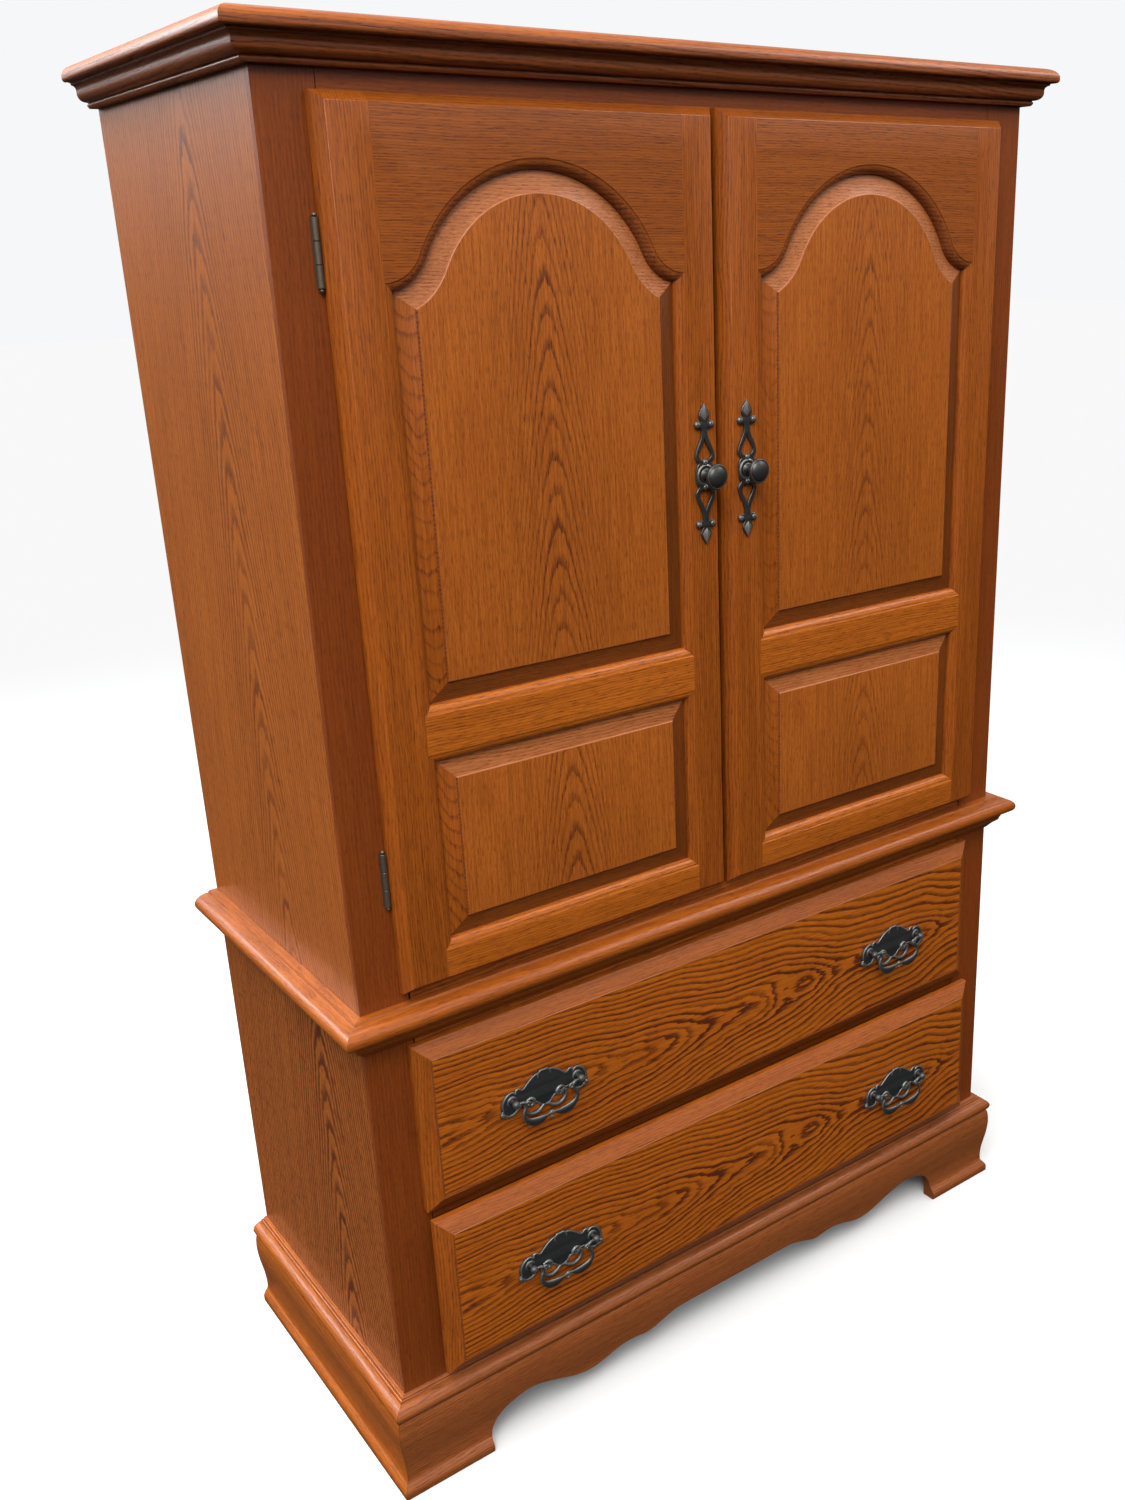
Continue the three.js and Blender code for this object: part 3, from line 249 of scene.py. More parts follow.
def wood(
    name, along, across, centre=0.0, pith=0.03, tilt=0.0, tilt_from=0.0, depth=None,
    spacing=0.004, taper=0.03, figure=None, fade=None, warp=0.0012, jag=0.0006, knot=None,
    sheet=None, wander=0.004, duty=0.45, contrast=0.5, edge_contrast=None, core_width=0.05,
    streaks=0.35, light=OAK_LIGHT, mid=OAK_MID, dark=OAK_DARK, roughness=0.36, coat=0.3, seed=0.0,
):
    """Lacquered oak, in metres. Growth rings are cones about a pith line that runs along the grain,
    so flat faces show nested arches and bevels show wavy lines. depth is where the face is, and pith
    how far behind it the line runs. figure gives the taper as a curve, fade how far from the line
    the arches reach before the rings run straight, knot a swirl, and sheet a second piece of veneer
    below a height."""
    g = Graph(bpy.data.materials.new(name))
    xyz = g.node("SeparateXYZ", {0: g.node("TexCoord").outputs["Object"]})
    axes = dict(zip("xyz", xyz.outputs))
    deep = next(a for a in "xyz" if a not in (along, across))
    w = axes[along]
    u = g.math("SUBTRACT", axes[across], centre)
    if sheet:
        top, move_across, move_along, extra = sheet
        lower = g.math("LESS_THAN", w, top)
        u = g.add(u, g.times(lower, move_across))
        w = g.add(w, g.times(lower, move_along))
    if depth is None:
        depth = {"x": HALF, "y": FACE_Y, "z": CROWN_Z}[deep] * MM
    v = g.math("SUBTRACT", g.math("ABSOLUTE", axes["x"]) if deep == "x" else axes[deep], depth)

    slow = g.noise(g.combine(seed, 3.1, g.times(w, 3.0)), 2.0)
    u_core = g.add(u, g.times(g.off_half(slow), wander * 4))
    from_pith = g.add(v, pith)
    if tilt:
        from_pith = g.add(from_pith, g.times(g.math("SUBTRACT", w, tilt_from), tilt))
    radius = g.math("SQRT", g.add(g.times(u_core, u_core), g.times(from_pith, from_pith)))
    if figure:
        lo, hi, rise, points = figure
        place = g.node("MapRange", {0: w, 1: lo, 2: hi, 3: 0.0, 4: 1.0}).outputs[0]
        climb = g.times(g.math("SUBTRACT", g.curve(place, points), STILL), rise)
    else:
        climb = g.times(w, taper)
    if fade:
        climb = g.times(climb, g.bell(g.math("DIVIDE", u_core, fade)))

    def grain(across_scale, along_scale, detail=2.0, rough=0.5):
        """Noise drawn out along the grain, with its scales as cells per metre."""
        along_w = g.add(g.times(w, along_scale), seed)
        at = g.combine(g.times(u, across_scale), g.times(v, across_scale), along_w)
        return g.noise(at, detail, rough)

    broad = grain(24, 9)
    tooth = grain(170, 26, 3.0, 0.6)
    by_tip = g.add(g.bell(g.math("DIVIDE", u_core, JAG_REACH)), 0.2)
    ragged = g.times(g.times(g.off_half(tooth), by_tip), jag * 8)
    shift = g.add(g.times(g.off_half(broad), warp * 8), ragged)
    if knot:
        place, size, pull = knot
        along_knot = g.math("DIVIDE", g.math("SUBTRACT", w, place), size)
        across_knot = g.math("DIVIDE", u_core, size * 0.8)
        square = g.add(g.times(along_knot, along_knot), g.times(across_knot, across_knot))
        shift = g.add(shift, g.times(g.math("EXPONENT", g.times(square, -1.0)), pull))
    rings = g.math("DIVIDE", g.add(g.add(radius, climb), shift), spacing)
    cell = g.math("FRACT", rings)
    rise_in = g.remap(cell, 0.0, 0.10)
    fall_out = g.remap(cell, duty * 0.35, duty * 1.5, 1.0, 0.0)
    ring = g.times(rise_in, fall_out)
    which = g.math("FLOOR", rings)
    uneven = g.node("TexWhiteNoise", {"W": which}, noise_dimensions="1D").outputs[0]
    ring = g.times(ring, g.remap(uneven, 0.0, 1.0, 0.6, 1.15))
    if edge_contrast is not None:
        reach = g.bell(g.math("DIVIDE", u_core, core_width))
        strength = g.add(edge_contrast, g.times(reach, contrast - edge_contrast))
    else:
        strength = contrast
    ring = g.times(ring, strength)
    if sheet:
        ring = g.times(ring, g.add(1.0, g.times(lower, extra)))
        streaks = g.add(streaks, g.times(lower, extra * 0.4))

    pore = g.remap(grain(1000, 85, 2.0, 0.6), 0.50, 0.63)
    fibre = grain(420, 11, 3.0, 0.6)
    cloud = grain(6, 2.2)
    blotch = g.add(fibre, g.times(cloud, 0.4))
    base = g.mix(g.remap(blotch, 0.44, 0.98), light, mid)
    marks = g.times(pore, g.add(streaks, g.times(ring, 0.4)))
    line = g.math("MINIMUM", g.add(ring, marks), 1.0)
    g.set(Base_Color=g.mix(line, base, dark), Roughness=g.add(roughness, g.times(line, 0.16)))
    g.set(Specular_IOR_Level=0.28, Coat_Weight=coat, Coat_Roughness=0.16)
    g.bump(g.math("SUBTRACT", 1.0, g.add(g.times(pore, 0.5), g.times(ring, 0.5))), 0.00022, 0.5)
    return g.owner


def scaled(colour, factor):
    return tuple(min(1, factor * c) for c in colour[:3]) + (1,)


def metal(name, dark, bright, roughness, wear_and_highlight=0.5):
    """Old cast metal: a dark patina, and brighter proud edges that are partly bare worn metal and
    partly a painted highlight.
    """
    g = Graph(bpy.data.materials.new(name))
    place = g.node("TexCoord").outputs["Object"]
    point = g.node("NewGeometry").outputs["Pointiness"]
    mottle = g.noise(place, 3.0, 0.6, 420.0)
    # Proud edges brighter: partly wear, partly a painted highlight.
    edge = g.remap(g.add(point, g.times(g.off_half(mottle), 0.03)), 0.507, 0.60)
    patina = g.mix(mottle, dark, scaled(dark, 0.75))
    g.set(Base_Color=g.mix(g.times(edge, wear_and_highlight), patina, bright))
    g.set(Roughness=g.add(roughness, g.times(mottle, 0.2)), Metallic=0.75)
    fine = g.noise(place, 2.0, 0.5, 1500.0)
    g.bump(g.add(mottle, g.times(fine, 0.4)), 0.00012, 0.6)
    return g.owner


def raw_wood(name, along, across, tint=(0.50, 0.30, 0.14, 1)):
    """Unfinished pale wood for the inside, the drawer boxes and the back."""
    return wood(
        name, along, across,
        centre=0.1, spacing=0.009, taper=0.02, contrast=0.25, streaks=0.12,
        light=scaled(tint, 1.25), mid=tint, dark=scaled(tint, 0.55), roughness=0.62, coat=0.0,
    )


RED_LIGHT = (0.25, 0.055, 0.008, 1)
RED_MID = (0.175, 0.036, 0.005, 1)
SIDE_LIGHT = (0.44, 0.124, 0.018, 1)
SIDE_MID = (0.27, 0.069, 0.009, 1)

# How the arches climb along a drawer front, from its left end to its right end
DRAWER_FIGURE = [
    (0.0, 0.02), (0.08, 0.054), (0.13, 0.108), (0.25, 0.162), (0.29, 0.216), (0.36, 0.27),
    (0.46, 0.432), (0.50, 0.486), (0.59, 0.54), (0.63, 0.595), (0.75, 0.81), (0.88, 0.865),
    (0.95, 0.973), (1.0, 1.0),
]
FRONT_HALF = cad("drawer_upper_front")[1][0]


def drawer_face(name):
    lo, hi = cad(name + "_front")
    return wood(
        "oak_" + name, "x", "z",
        centre=((lo[2] + hi[2]) / 2 - 9) * MM, depth=(lo[1] + FACE_Y) * MM, pith=0.012,
        spacing=0.0080, figure=(-FRONT_HALF * MM, FRONT_HALF * MM, 0.128, DRAWER_FIGURE), fade=0.15,
        knot=(0.085, 0.026, 0.016), warp=0.0019, jag=0.0014, wander=0.003, duty=0.46, contrast=1.0,
        edge_contrast=0.74, core_width=0.05, streaks=0.24, light=(0.53, 0.137, 0.010, 1),
        mid=(0.34, 0.075, 0.005, 1), dark=(0.09, 0.016, 0.002, 1), seed=4.0,
    )


def panel_face(side, which):
    lo, hi = cad(f"door_{side}_{which}_panel")
    return wood(
        f"oak_{side}_{which}", "z", "x",
        centre=(lo[0] + hi[0]) / 2 * MM, depth=(lo[1] + FACE_Y) * MM, pith=0.028, tilt=-0.026,
        tilt_from=lo[2] * MM, spacing=0.0046, taper=0.155, warp=0.0004, jag=0.0003, wander=0.003,
        duty=0.36, contrast=0.66 if side == "left" else 0.42, edge_contrast=0.08, core_width=0.044,
        streaks=0.42, seed=1.0 if which == "upper" else 2.0,
    )


def wavy_bevel(side, which):
    """The bevel on a panel's left cuts the rings at a slant, which shows hanging arcs."""
    lo = cad(f"door_{side}_{which}_panel")[0]
    return wood(
        f"oak_bevel_{side}_{which}", "z", "x",
        centre=(lo[0] + 16) * MM, depth=(lo[1] + FACE_Y) * MM, pith=0.024, spacing=0.0046,
        taper=-0.26, warp=0.0016, jag=0.0003, duty=0.3, contrast=0.42 if side == "left" else 0.25,
        light=RAIL_LIGHT, mid=RAIL_MID,
    )


RAIL = {"light": RAIL_LIGHT, "mid": RAIL_MID}
RED = {"light": RED_LIGHT, "mid": RED_MID}
oak_up = wood("oak_up", "z", "x", centre=0.09, spacing=0.0032, taper=0.012, contrast=0.35, **RAIL)
oak_up_2 = wood(
    "oak_up_2", "z", "x", centre=-0.11, spacing=0.003, taper=0.01, contrast=0.3, seed=5, **RAIL
)
oak_bevel_up = wood(
    "oak_bevel_up", "z", "x", centre=0.2, pith=0.02, spacing=0.003, taper=0.05, contrast=0.3, **RAIL
)
oak_bevel_across = wood(
    "oak_bevel_across", "x", "z", centre=0.2, pith=0.02, spacing=0.003, taper=0.03, contrast=0.22,
    **RAIL,
)
oak_trim_x = wood("oak_trim_x", "x", "z", centre=0.3, spacing=0.0036, contrast=0.25, **RAIL)
# The mouldings' side runs are lighter than the front runs, as painted light from the left.
oak_trim_y_lit = wood("oak_trim_y_lit", "y", "z", centre=0.3, spacing=0.0036, contrast=0.25)
# Painted shade, with real stain only on the arch's end grain: dark tones for the crown's underside, the
# arrises along the lower and upright sides of the panels and drawer fronts, and the arch's moulded
# edge.
SHADE_AND_STAIN = {
    "light": (0.31, 0.080, 0.020, 1),
    "mid": (0.19, 0.047, 0.011, 1),
    "dark": (0.055, 0.013, 0.003, 1),
}
# Painted shade on the panels' right and bottom bevels, which face away from the light.
PAINTED_SHADE = {
    "light": (0.20, 0.050, 0.006, 1),
    "mid": (0.13, 0.031, 0.004, 1),
    "dark": (0.05, 0.010, 0.002, 1),
}
# The doors' top rails: darker than the other rails as painted shade, the light falling off towards the
# top.
ARCH_RAIL_SHADE = {"light": (0.34, 0.084, 0.009, 1), "mid": (0.235, 0.056, 0.006, 1)}
# Painted sheen: the panels' upward-facing top bevels, lighter and pinker as a reflection of the sky.
TOP_BEVEL_SHEEN = {"light": (0.50, 0.165, 0.050, 1), "mid": (0.36, 0.105, 0.028, 1)}
# The doors' middle and bottom rails: lighter than the stiles, as painted light for the highlights on
# their upward-facing moulded edges.
LIT_RAIL = {"light": (0.53, 0.138, 0.012, 1), "mid": (0.38, 0.091, 0.007, 1)}
# The front base: its own browner tone, with a painted sheen in its pinker cast.
PLINTH_AND_SHEEN = {"light": (0.36, 0.105, 0.028, 1), "mid": (0.25, 0.070, 0.018, 1)}
# Painted shade for the right and bottom bevels.
oak_painted_shade_up = wood("oak_painted_shade_up", "z", "x", centre=0.2, spacing=0.003, contrast=0.25, **PAINTED_SHADE)
oak_painted_shade_across = wood(
    "oak_painted_shade_across", "x", "z", centre=0.2, spacing=0.003, contrast=0.25, **PAINTED_SHADE
)
oak_top_bevel_sheen = wood(
    "oak_top_bevel_sheen", "x", "z", centre=0.3, pith=0.02, spacing=0.0034, taper=0.05, contrast=0.3, **TOP_BEVEL_SHEEN
)
# Top rails darkened as painted shade.
oak_arch_rail_shaded = wood(
    "oak_arch_rail_shaded", "x", "z", centre=0.6, spacing=0.0026, taper=0.012, warp=0.0005, contrast=0.4,
    **ARCH_RAIL_SHADE,
)
oak_across_lit = wood(
    "oak_across_lit", "x", "z", centre=0.6, spacing=0.0032, taper=0.012, contrast=0.35, **LIT_RAIL
)
oak_plinth_sheen_x = wood("oak_plinth_sheen_x", "x", "z", centre=0.3, spacing=0.0036, contrast=0.25, **PLINTH_AND_SHEEN)
# Painted shade under the crown and along arrises, and on the stained and shaded arch edge.
oak_shade_and_stain_x = wood("oak_shade_and_stain_x", "x", "z", centre=0.3, spacing=0.0045, contrast=0.5, **SHADE_AND_STAIN)
oak_painted_shade_y = wood("oak_painted_shade_y", "y", "z", centre=0.3, spacing=0.0045, contrast=0.5, **SHADE_AND_STAIN)
# Painted highlight: a light line along the top arrises of the panels and drawer fronts, where the edge
# catches the light from above.
PAINTED_HIGHLIGHT = {"light": (0.50, 0.18, 0.07, 1), "mid": (0.38, 0.12, 0.04, 1)}
oak_painted_highlight = wood("oak_painted_highlight", "x", "z", centre=0.3, contrast=0.1, streaks=0.1, **PAINTED_HIGHLIGHT)
oak_red_up = wood("oak_red_up", "z", "x", centre=0.2, spacing=0.004, contrast=0.22, **RED)
oak_red_across = wood("oak_red_across", "x", "z", centre=0.9, spacing=0.004, contrast=0.22, **RED)
oak_side = wood(
    "oak_side", "z", "y",
    centre=-0.01, pith=0.02, tilt=0.01, spacing=0.0058, taper=0.12, warp=0.0010,
    sheet=((WAIST_Z + 20) * MM, 0.05, 0.4, 1.0), contrast=0.66, edge_contrast=0.42, core_width=0.08,
    streaks=0.4, light=SIDE_LIGHT, mid=SIDE_MID, seed=8.0,
)
oak_top = wood("oak_top", "x", "y", centre=0.05, spacing=0.005, taper=0.03, contrast=0.5)
raw_up = raw_wood("raw_up", "z", "x", (0.36, 0.20, 0.09, 1))
raw_x = raw_wood("raw_x", "x", "z")
raw_y = raw_wood("raw_y", "y", "z")
raw_flat = raw_wood("raw_flat", "x", "y")
pewter = metal("pewter", (0.060, 0.064, 0.063, 1), (0.50, 0.51, 0.48, 1), 0.36, 0.6)
gunmetal = metal("gunmetal", (0.075, 0.074, 0.070, 1), (0.38, 0.37, 0.34, 1), 0.28, 0.7)
bronze = metal("bronze", (0.042, 0.034, 0.027, 1), (0.26, 0.21, 0.15, 1), 0.35, 0.7)

# ---------- Plain boards: the CAD nodes with eased edges ----------


def ease(node, material, width=0.9):
    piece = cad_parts[node]
    piece.data.materials.clear()
    piece.data.materials.append(material)
    flat = piece.modifiers.new("flatten", "DECIMATE")
    flat.decimate_type = "DISSOLVE"
    flat.angle_limit = math.radians(1)
    edge = piece.modifiers.new("ease", "BEVEL")
    edge.width = width * MM
    edge.segments = 2
    edge.limit_method = "ANGLE"
    edge.angle_limit = math.radians(40)
    edge.harden_normals = True


for side in SIDES:
    ease("side_panel_" + side, oak_side, 1.2)
    ease("frame_stile_" + side, oak_red_up, 0.9)
ease("frame_top_rail", oak_red_across)
ease("drawer_divider", oak_red_across)
ease("base_floor", oak_red_across)
ease("cabinet_floor", oak_top)
ease("shelf", oak_top)
ease("top_board", oak_top)
ease("back_panel", raw_up, 0.5)
for name in ("drawer_upper", "drawer_lower"):
    for side in SIDES:
        ease(f"{name}_side_{side}", raw_y, 1.5)
    ease(name + "_back", raw_x, 1.5)
    ease(name + "_bottom", raw_flat, 0.5)

# ---------- Mouldings, as profiles of (overhang, height) ----------


def nosing(reach, tip, back, rise):
    """The rounded upper lip of a moulding, from its furthest point up and back."""
    return arc(reach - back, tip, back, 0, 90, 8, rise / back)


def moulding(name, node, profile, painted_shade_below=-1):
    """A profile wrapped round the front and both sides, mitred at the corners. The part of the
    profile under the given height is darker, as painted shade on the downward-facing underside."""
    rings = []
    for x, y_is_back in ((-1, True), (-1, False), (1, False), (1, True)):
        rings.append(
            [(x * (HALF + p), CASE_DEPTH if y_is_back else -p, z) for p, z in profile]
        )

    def tags(ring, i):
        dark = i is not None and profile[i][1] < painted_shade_below
        return (0 if ring == 1 and i is not None else 1) + (2 if dark else 0)

    verts, faces, indices = loft(rings, tags=tags)
    mesh = mesh_from(name, verts, faces, indices)
    # Front and side runs, then their undersides darkened as painted shade.
    looks = [oak_trim_x, oak_trim_y_lit, oak_shade_and_stain_x, oak_painted_shade_y]
    return finish_mesh(name, mesh, looks, "case", [node])


def crown_profile():
    z = CROWN_Z
    reach = CROWN_REACH
    return [
        (GAP, z),
        (9, z),
        (9.8, z + 0.6),
        *arc(9, z + 3.2, 2.2, -60, 60, 4),
        (10, z + 5.6),
        (12, z + 6),
        *arc(12, z + 14, 8, -80, 0, 7),
        (20, z + 16.6),
        *arc(25, z + 17, 5, 180, 95, 6),
        (25, z + 24),
        (reach - 5.2, z + 24.8),
        *arc(reach - 3.6, z + 27.8, 3.4, -80, 0, 4),
        *nosing(reach, z + 30, 17, 11.4)[1:],
        (15.4, z + 41.0), (14.8, z + 40.2), (14.2, z + 41.2), (13.4, z + 42), (GAP, z + 42),
    ]


def waist_profile():
    z = WAIST_Z
    reach = WAIST_REACH
    return [
        (GAP, z),
        (1.5, z + 0.8),
        *smooth([(3.4, z + 3), (8, z + 8.2), (12, z + 11.6), (14.2, z + 14), (14.6, z + 16.4)], 3),
        (16, z + 18.5),
        (16.4, z + 20.5),
        (18.4, z + 22.4),
        *arc(reach - 8.3, z + 34, 8.3, -88, -6, 6),
        *nosing(reach, z + 35, 17.5, 11.6),
        (12.6, z + 45.9), (12.0, z + 46.2), (11.6, z + 47.4), (10.4, z + 49), (GAP, z + 49),
    ]


def base_profile():
    top = BASE_TOP
    cap = top - 23
    ogee = smooth(
        [
            (21, 7), (20.4, 10.5), (17.4, 15.5), (14.2, 20), (13.4, 28), (14.2, 42), (16.3, 56),
            (18.9, 72), (20.4, 88), (20.3, 99), (19.2, 108), (17.6, cap),
        ],
        4,
    )
    return [
        (GAP, 0),
        (20.2, 0),
        (20.8, 1),
        *ogee,
        (18.2, cap + 1.5),
        (20, cap + 3),
        *nosing(21.5, cap + 7.5, 12, 11.2),
        (9.0, top - 4.8),
        (8.5, top - 3.9),
        *arc(7.1, top - 3.0, 1.4, 0, 160, 5),
        (5.3, top - 3.2),
        (4.9, top - 2.6),
        *arc(3.7, top - 2.0, 1.4, 0, 120, 4),
        (2.4, top),
        (GAP, top),
    ]


CROWN_NOSE = 29  # height of the crown's upper lip above its lower edge
# The crown below its upper lip is darkened as painted shade.
moulding("crown", "crown_moulding", crown_profile(), CROWN_Z + CROWN_NOSE)
moulding("waist", "waist_moulding", waist_profile())

for side, s in SIDES.items():
    profile = base_profile()
    rings = [
        [(s * (HALF + p), -p + GAP, z) for p, z in profile],
        [(s * (HALF + p), CASE_DEPTH, z) for p, z in profile],
    ]
    verts, faces, _ = loft(rings)
    mesh = mesh_from("base_board_" + side, verts, faces)
    finish_mesh("base_board_" + side, mesh, [oak_trim_y_lit], "case", ["base_" + side])

FOOT_INNER = HALF - 100  # the inner edge of a front foot
APRON = 62  # floor to the flat middle of the apron


def apron_half():
    """Height of the apron's lower edge from the middle out to the foot."""
    f = FOOT_INNER
    a = APRON
    return smooth(
        [
            (f - 305, a), (f - 287, a - 1), (f - 268, a - 7), (f - 252, a - 13.5),
            (f - 238, a - 16), (f - 218, a - 13), (f - 200, a - 13.3), (f - 184, a - 17.5),
            (f - 167, a - 23), (f - 149, a - 25.5), (f - 128, a - 22.5), (f - 106, a - 14),
            (f - 84, a - 5), (f - 59, a + 1.3), (f - 34, a - 4), (f - 15, a - 15), (f - 4, a - 30),
            (f, a - 46),
        ],
        4,
    )


def base_front():
    """The front base: its profile is cut off below the scalloped edge, station by station."""
    profile = base_profile()
    right = apron_half() + [(FOOT_INNER, 0.0)]
    stations = [(-x, z) for x, z in right[::-1]] + right
    rings = [[(x, -p, z) for p, z in clip_profile(profile, low)] for x, low in stations]
    left_end, right_end = [[(s * (HALF + p - 0.2), -p, z) for p, z in profile] for s in (-1, 1)]
    verts, faces, _ = loft([left_end] + rings + [right_end])
    mesh = mesh_from("base_board_front", verts, faces)
    finish_mesh("base_board_front", mesh, [oak_plinth_sheen_x], "case", ["base_front"])


def clip_profile(profile, low):
    """The same number of points, with those below a height slid up the profile to it."""
    out = [(GAP, max(low, profile[0][1]))]
    for p, z in profile[1:]:
        out.append((p, z) if z >= low else (out_at(profile, low), low))
    return out


def out_at(profile, low):
    """Overhang of the profile's front at a height."""
    for (p0, z0), (p1, z1) in zip(profile[1:], profile[2:]):
        if z0 <= low <= z1 and z1 > z0:
            return p0 + (p1 - p0) * (low - z0) / (z1 - z0)
    return profile[1][0]


base_front()

# ---------- Drawer fronts: a veneered face inside mitred bevels ----------


CORNERS = ((-1, -1), (1, -1), (1, 1), (-1, 1))  # of a rectangle, from its lower left


def stepped_rings(mid_x, half_x, mid_z, half_z, steps):
    """Rectangles about a middle, one for each (inset, y)."""
    rings = []
    for inset, y in steps:
        x, z = half_x - inset, half_z - inset
        rings.append([(mid_x + a * x, y, mid_z + b * z) for a, b in CORNERS])
    return rings


def drawer_front(name):
    lo, hi = cad(name + "_front")
    mid_z = (lo[2] + hi[2]) / 2
    half_x = (hi[0] - lo[0]) / 2
    half_z = (hi[2] - lo[2]) / 2
    face, back = lo[1], hi[1]
    steps = [
        (0.6, back), (0, back - 0.6), (0, face + 10.9), (0.25, face + 10.3), (0.9, face + 9.8),
        (16.4, face + 0.55), (17.0, face + 0.15), (17.7, face + 0.45), (18.0, face + 0.4),
        (18.5, face + 0.05), (19.2, face),
    ]
    arris = len(steps) - 4
    rings = stepped_rings(0, half_x, mid_z, half_z, steps)

    def tags(ring, i):
        """Sides are counted from the bottom: even ones run across and odd ones run up."""
        if i is None:
            return 0 if ring else 1
        # The arris by the face: a painted highlight along the top, a painted shade line along the other
        # sides.
        if ring >= arris:
            return 3 if i == 2 else 4
        return 2 if i % 2 else 1

    verts, faces, indices = loft(rings, tags=tags)
    mesh = mesh_from(name + "_face", verts, faces, indices)
    materials = [drawer_face(name), oak_bevel_across, oak_bevel_up, oak_painted_highlight, oak_shade_and_stain_x]
    finish_mesh(name + "_face", mesh, materials, name, [name + "_front"], angle=25)


drawer_front("drawer_upper")
drawer_front("drawer_lower")

# ---------- Doors ----------

DOOR = cad("door_right_outer_stile")
DOOR_INNER = cad("door_right_inner_stile")[0][0]
DOOR_OUTER = DOOR[1][0]
DOOR_Z, DOOR_TOP = DOOR[0][2], DOOR[1][2]
DOOR_FACE, DOOR_BACK = DOOR[0][1], DOOR[1][1]
INNER_STILE = 47
OUTER_STILE = 50
RAIL_HEIGHT = 41  # bottom and middle rails
LOWER_OPENING = 221
CREST_RAIL = 52  # top rail at the arch's crest
OPEN_INNER = DOOR_INNER + INNER_STILE
OPEN_OUTER = DOOR_OUTER - OUTER_STILE
PANEL_HALF = (OPEN_OUTER - OPEN_INNER) / 2
PANEL_X = (OPEN_OUTER + OPEN_INNER) / 2
LOWER_Z = (DOOR_Z + RAIL_HEIGHT, DOOR_Z + RAIL_HEIGHT + LOWER_OPENING)
UPPER_Z = LOWER_Z[1] + RAIL_HEIGHT
ARCH_RISE = 108
ARCH_SPRING = DOOR_TOP - CREST_RAIL - ARCH_RISE
SHOULDER = 42  # radius of the arch's hollow shoulders
STICKING = 10  # width of a door frame's moulded inner edge
STICKING_DEPTH = 9
PANEL_BEVEL = 21.5
LEAF_WIDTH = 14.6  # of the pocket in a door's back for its hinge leaf
WELL_INSIDE = 60  # from a rail's edge to where the frame is split, past its moulded edge


def rect_outline(inset):
    x, lo, hi = PANEL_HALF - inset, LOWER_Z[0] + inset, LOWER_Z[1] - inset
    return [(-x, lo), (x, lo), (x, hi), (-x, hi)]


def arch_outline(inset):
    """The arched opening, drawn in by an inset: round crest, then hollow shoulders."""
    shoulder_z = ARCH_SPRING + SHOULDER
    crest_r = (PANEL_HALF**2 + (ARCH_RISE - SHOULDER) ** 2 - SHOULDER**2) / (2 * ARCH_RISE)
    crest_z = ARCH_SPRING + ARCH_RISE - crest_r
    turn = math.degrees(math.atan2(shoulder_z - crest_z, PANEL_HALF))
    end = -90 - math.degrees(math.asin(inset / (SHOULDER + inset)))
    right = arc(PANEL_HALF, shoulder_z, SHOULDER + inset, end, turn - 180, 12)
    crest = arc(0, crest_z, crest_r - inset, turn, 180 - turn, 56)
    left = [(-x, z) for x, z in right[::-1]]
    x, low = PANEL_HALF - inset, UPPER_Z + inset
    return [(-x, low), (x, low), *right[:-1], *crest, *left[1:]]


OUTLINES = {"upper": arch_outline, "lower": rect_outline}


def door_rings(outline, s, steps):
    return [[(s * (PANEL_X + x), y, z) for x, z in outline(inset)] for inset, y in steps]


def temporary(rings):
    """A closed solid for the boolean cuts, which doesn't stay in the scene."""
    verts, faces, _ = loft(rings)
    mesh = mesh_from("scratch", verts, faces)
    bm = bmesh.new()
    bm.from_mesh(mesh)
    bmesh.ops.recalc_face_normals(bm, faces=bm.faces)
    bm.to_mesh(mesh)
    bm.free()
    piece = bpy.data.objects.new("scratch", mesh)
    bpy.context.scene.collection.objects.link(piece)
    return piece


def evaluated_mesh(piece):
    bpy.context.view_layer.update()
    return bpy.data.meshes.new_from_object(
        piece.evaluated_get(bpy.context.evaluated_depsgraph_get())
    )


def combine(base, other, operation, keep=True):
    """base with other cut from it or added to it, or their overlap."""
    cut = base.modifiers.new("cut", "BOOLEAN")
    cut.operation = operation
    cut.object = other
    cut.solver = "EXACT"
    result = evaluated_mesh(base)
    base.modifiers.clear()
    base.data = result
    if not keep:
        bpy.data.objects.remove(other)


def box_rings(x0, x1, y0, y1, z0, z1):
    ring = [(x0, z0), (x1, z0), (x1, z1), (x0, z1)]
    return [[(x, y, z) for x, z in ring] for y in (y0, y1)]


def block(x0, x1, z0, z1, y0=DOOR_FACE - 3, y1=DOOR_BACK + 3):
    return temporary(box_rings(x0, x1, y0, y1, z0, z1))


def sticking_cutter(outline, s):
    face, deep = DOOR_FACE, DOOR_FACE + STICKING_DEPTH
    steps = [(0, face - 2), (0, face), (0.35, face + 0.5), (1.1, face + 0.8)]
    wide, high = STICKING - 1.1, STICKING_DEPTH - 0.8
    for i in range(1, 9):
        a = math.radians(90 * i / 8)
        steps.append((1.1 + wide * math.sin(a), deep - high * math.cos(a)))
    steps.append((STICKING, DOOR_BACK + 2))
    return temporary(door_rings(outline, s, steps))


def stile_zone(s, edge, outer):
    """A stile's share of the frame: its strip, and its moulded edge mitred at the openings' corners."""
    inward = 1 if PANEL_X > edge else -1
    zone = block(*sorted((s * edge, s * outer)), DOOR_Z - 2, DOOR_TOP + 2)
    reach = STICKING + 1
    for low, high in (LOWER_Z, (UPPER_Z, ARCH_SPRING)):
        outline = [
            (edge - inward, low - 1), (edge + inward * reach, low + reach),
            (edge + inward * reach, high - reach), (edge - inward, high + 1),
        ]
        rings = [[(s * x, y, z) for x, z in outline] for y in (DOOR_FACE - 3, DOOR_BACK + 3)]
        combine(zone, temporary(rings), "UNION", keep=False)
    return zone


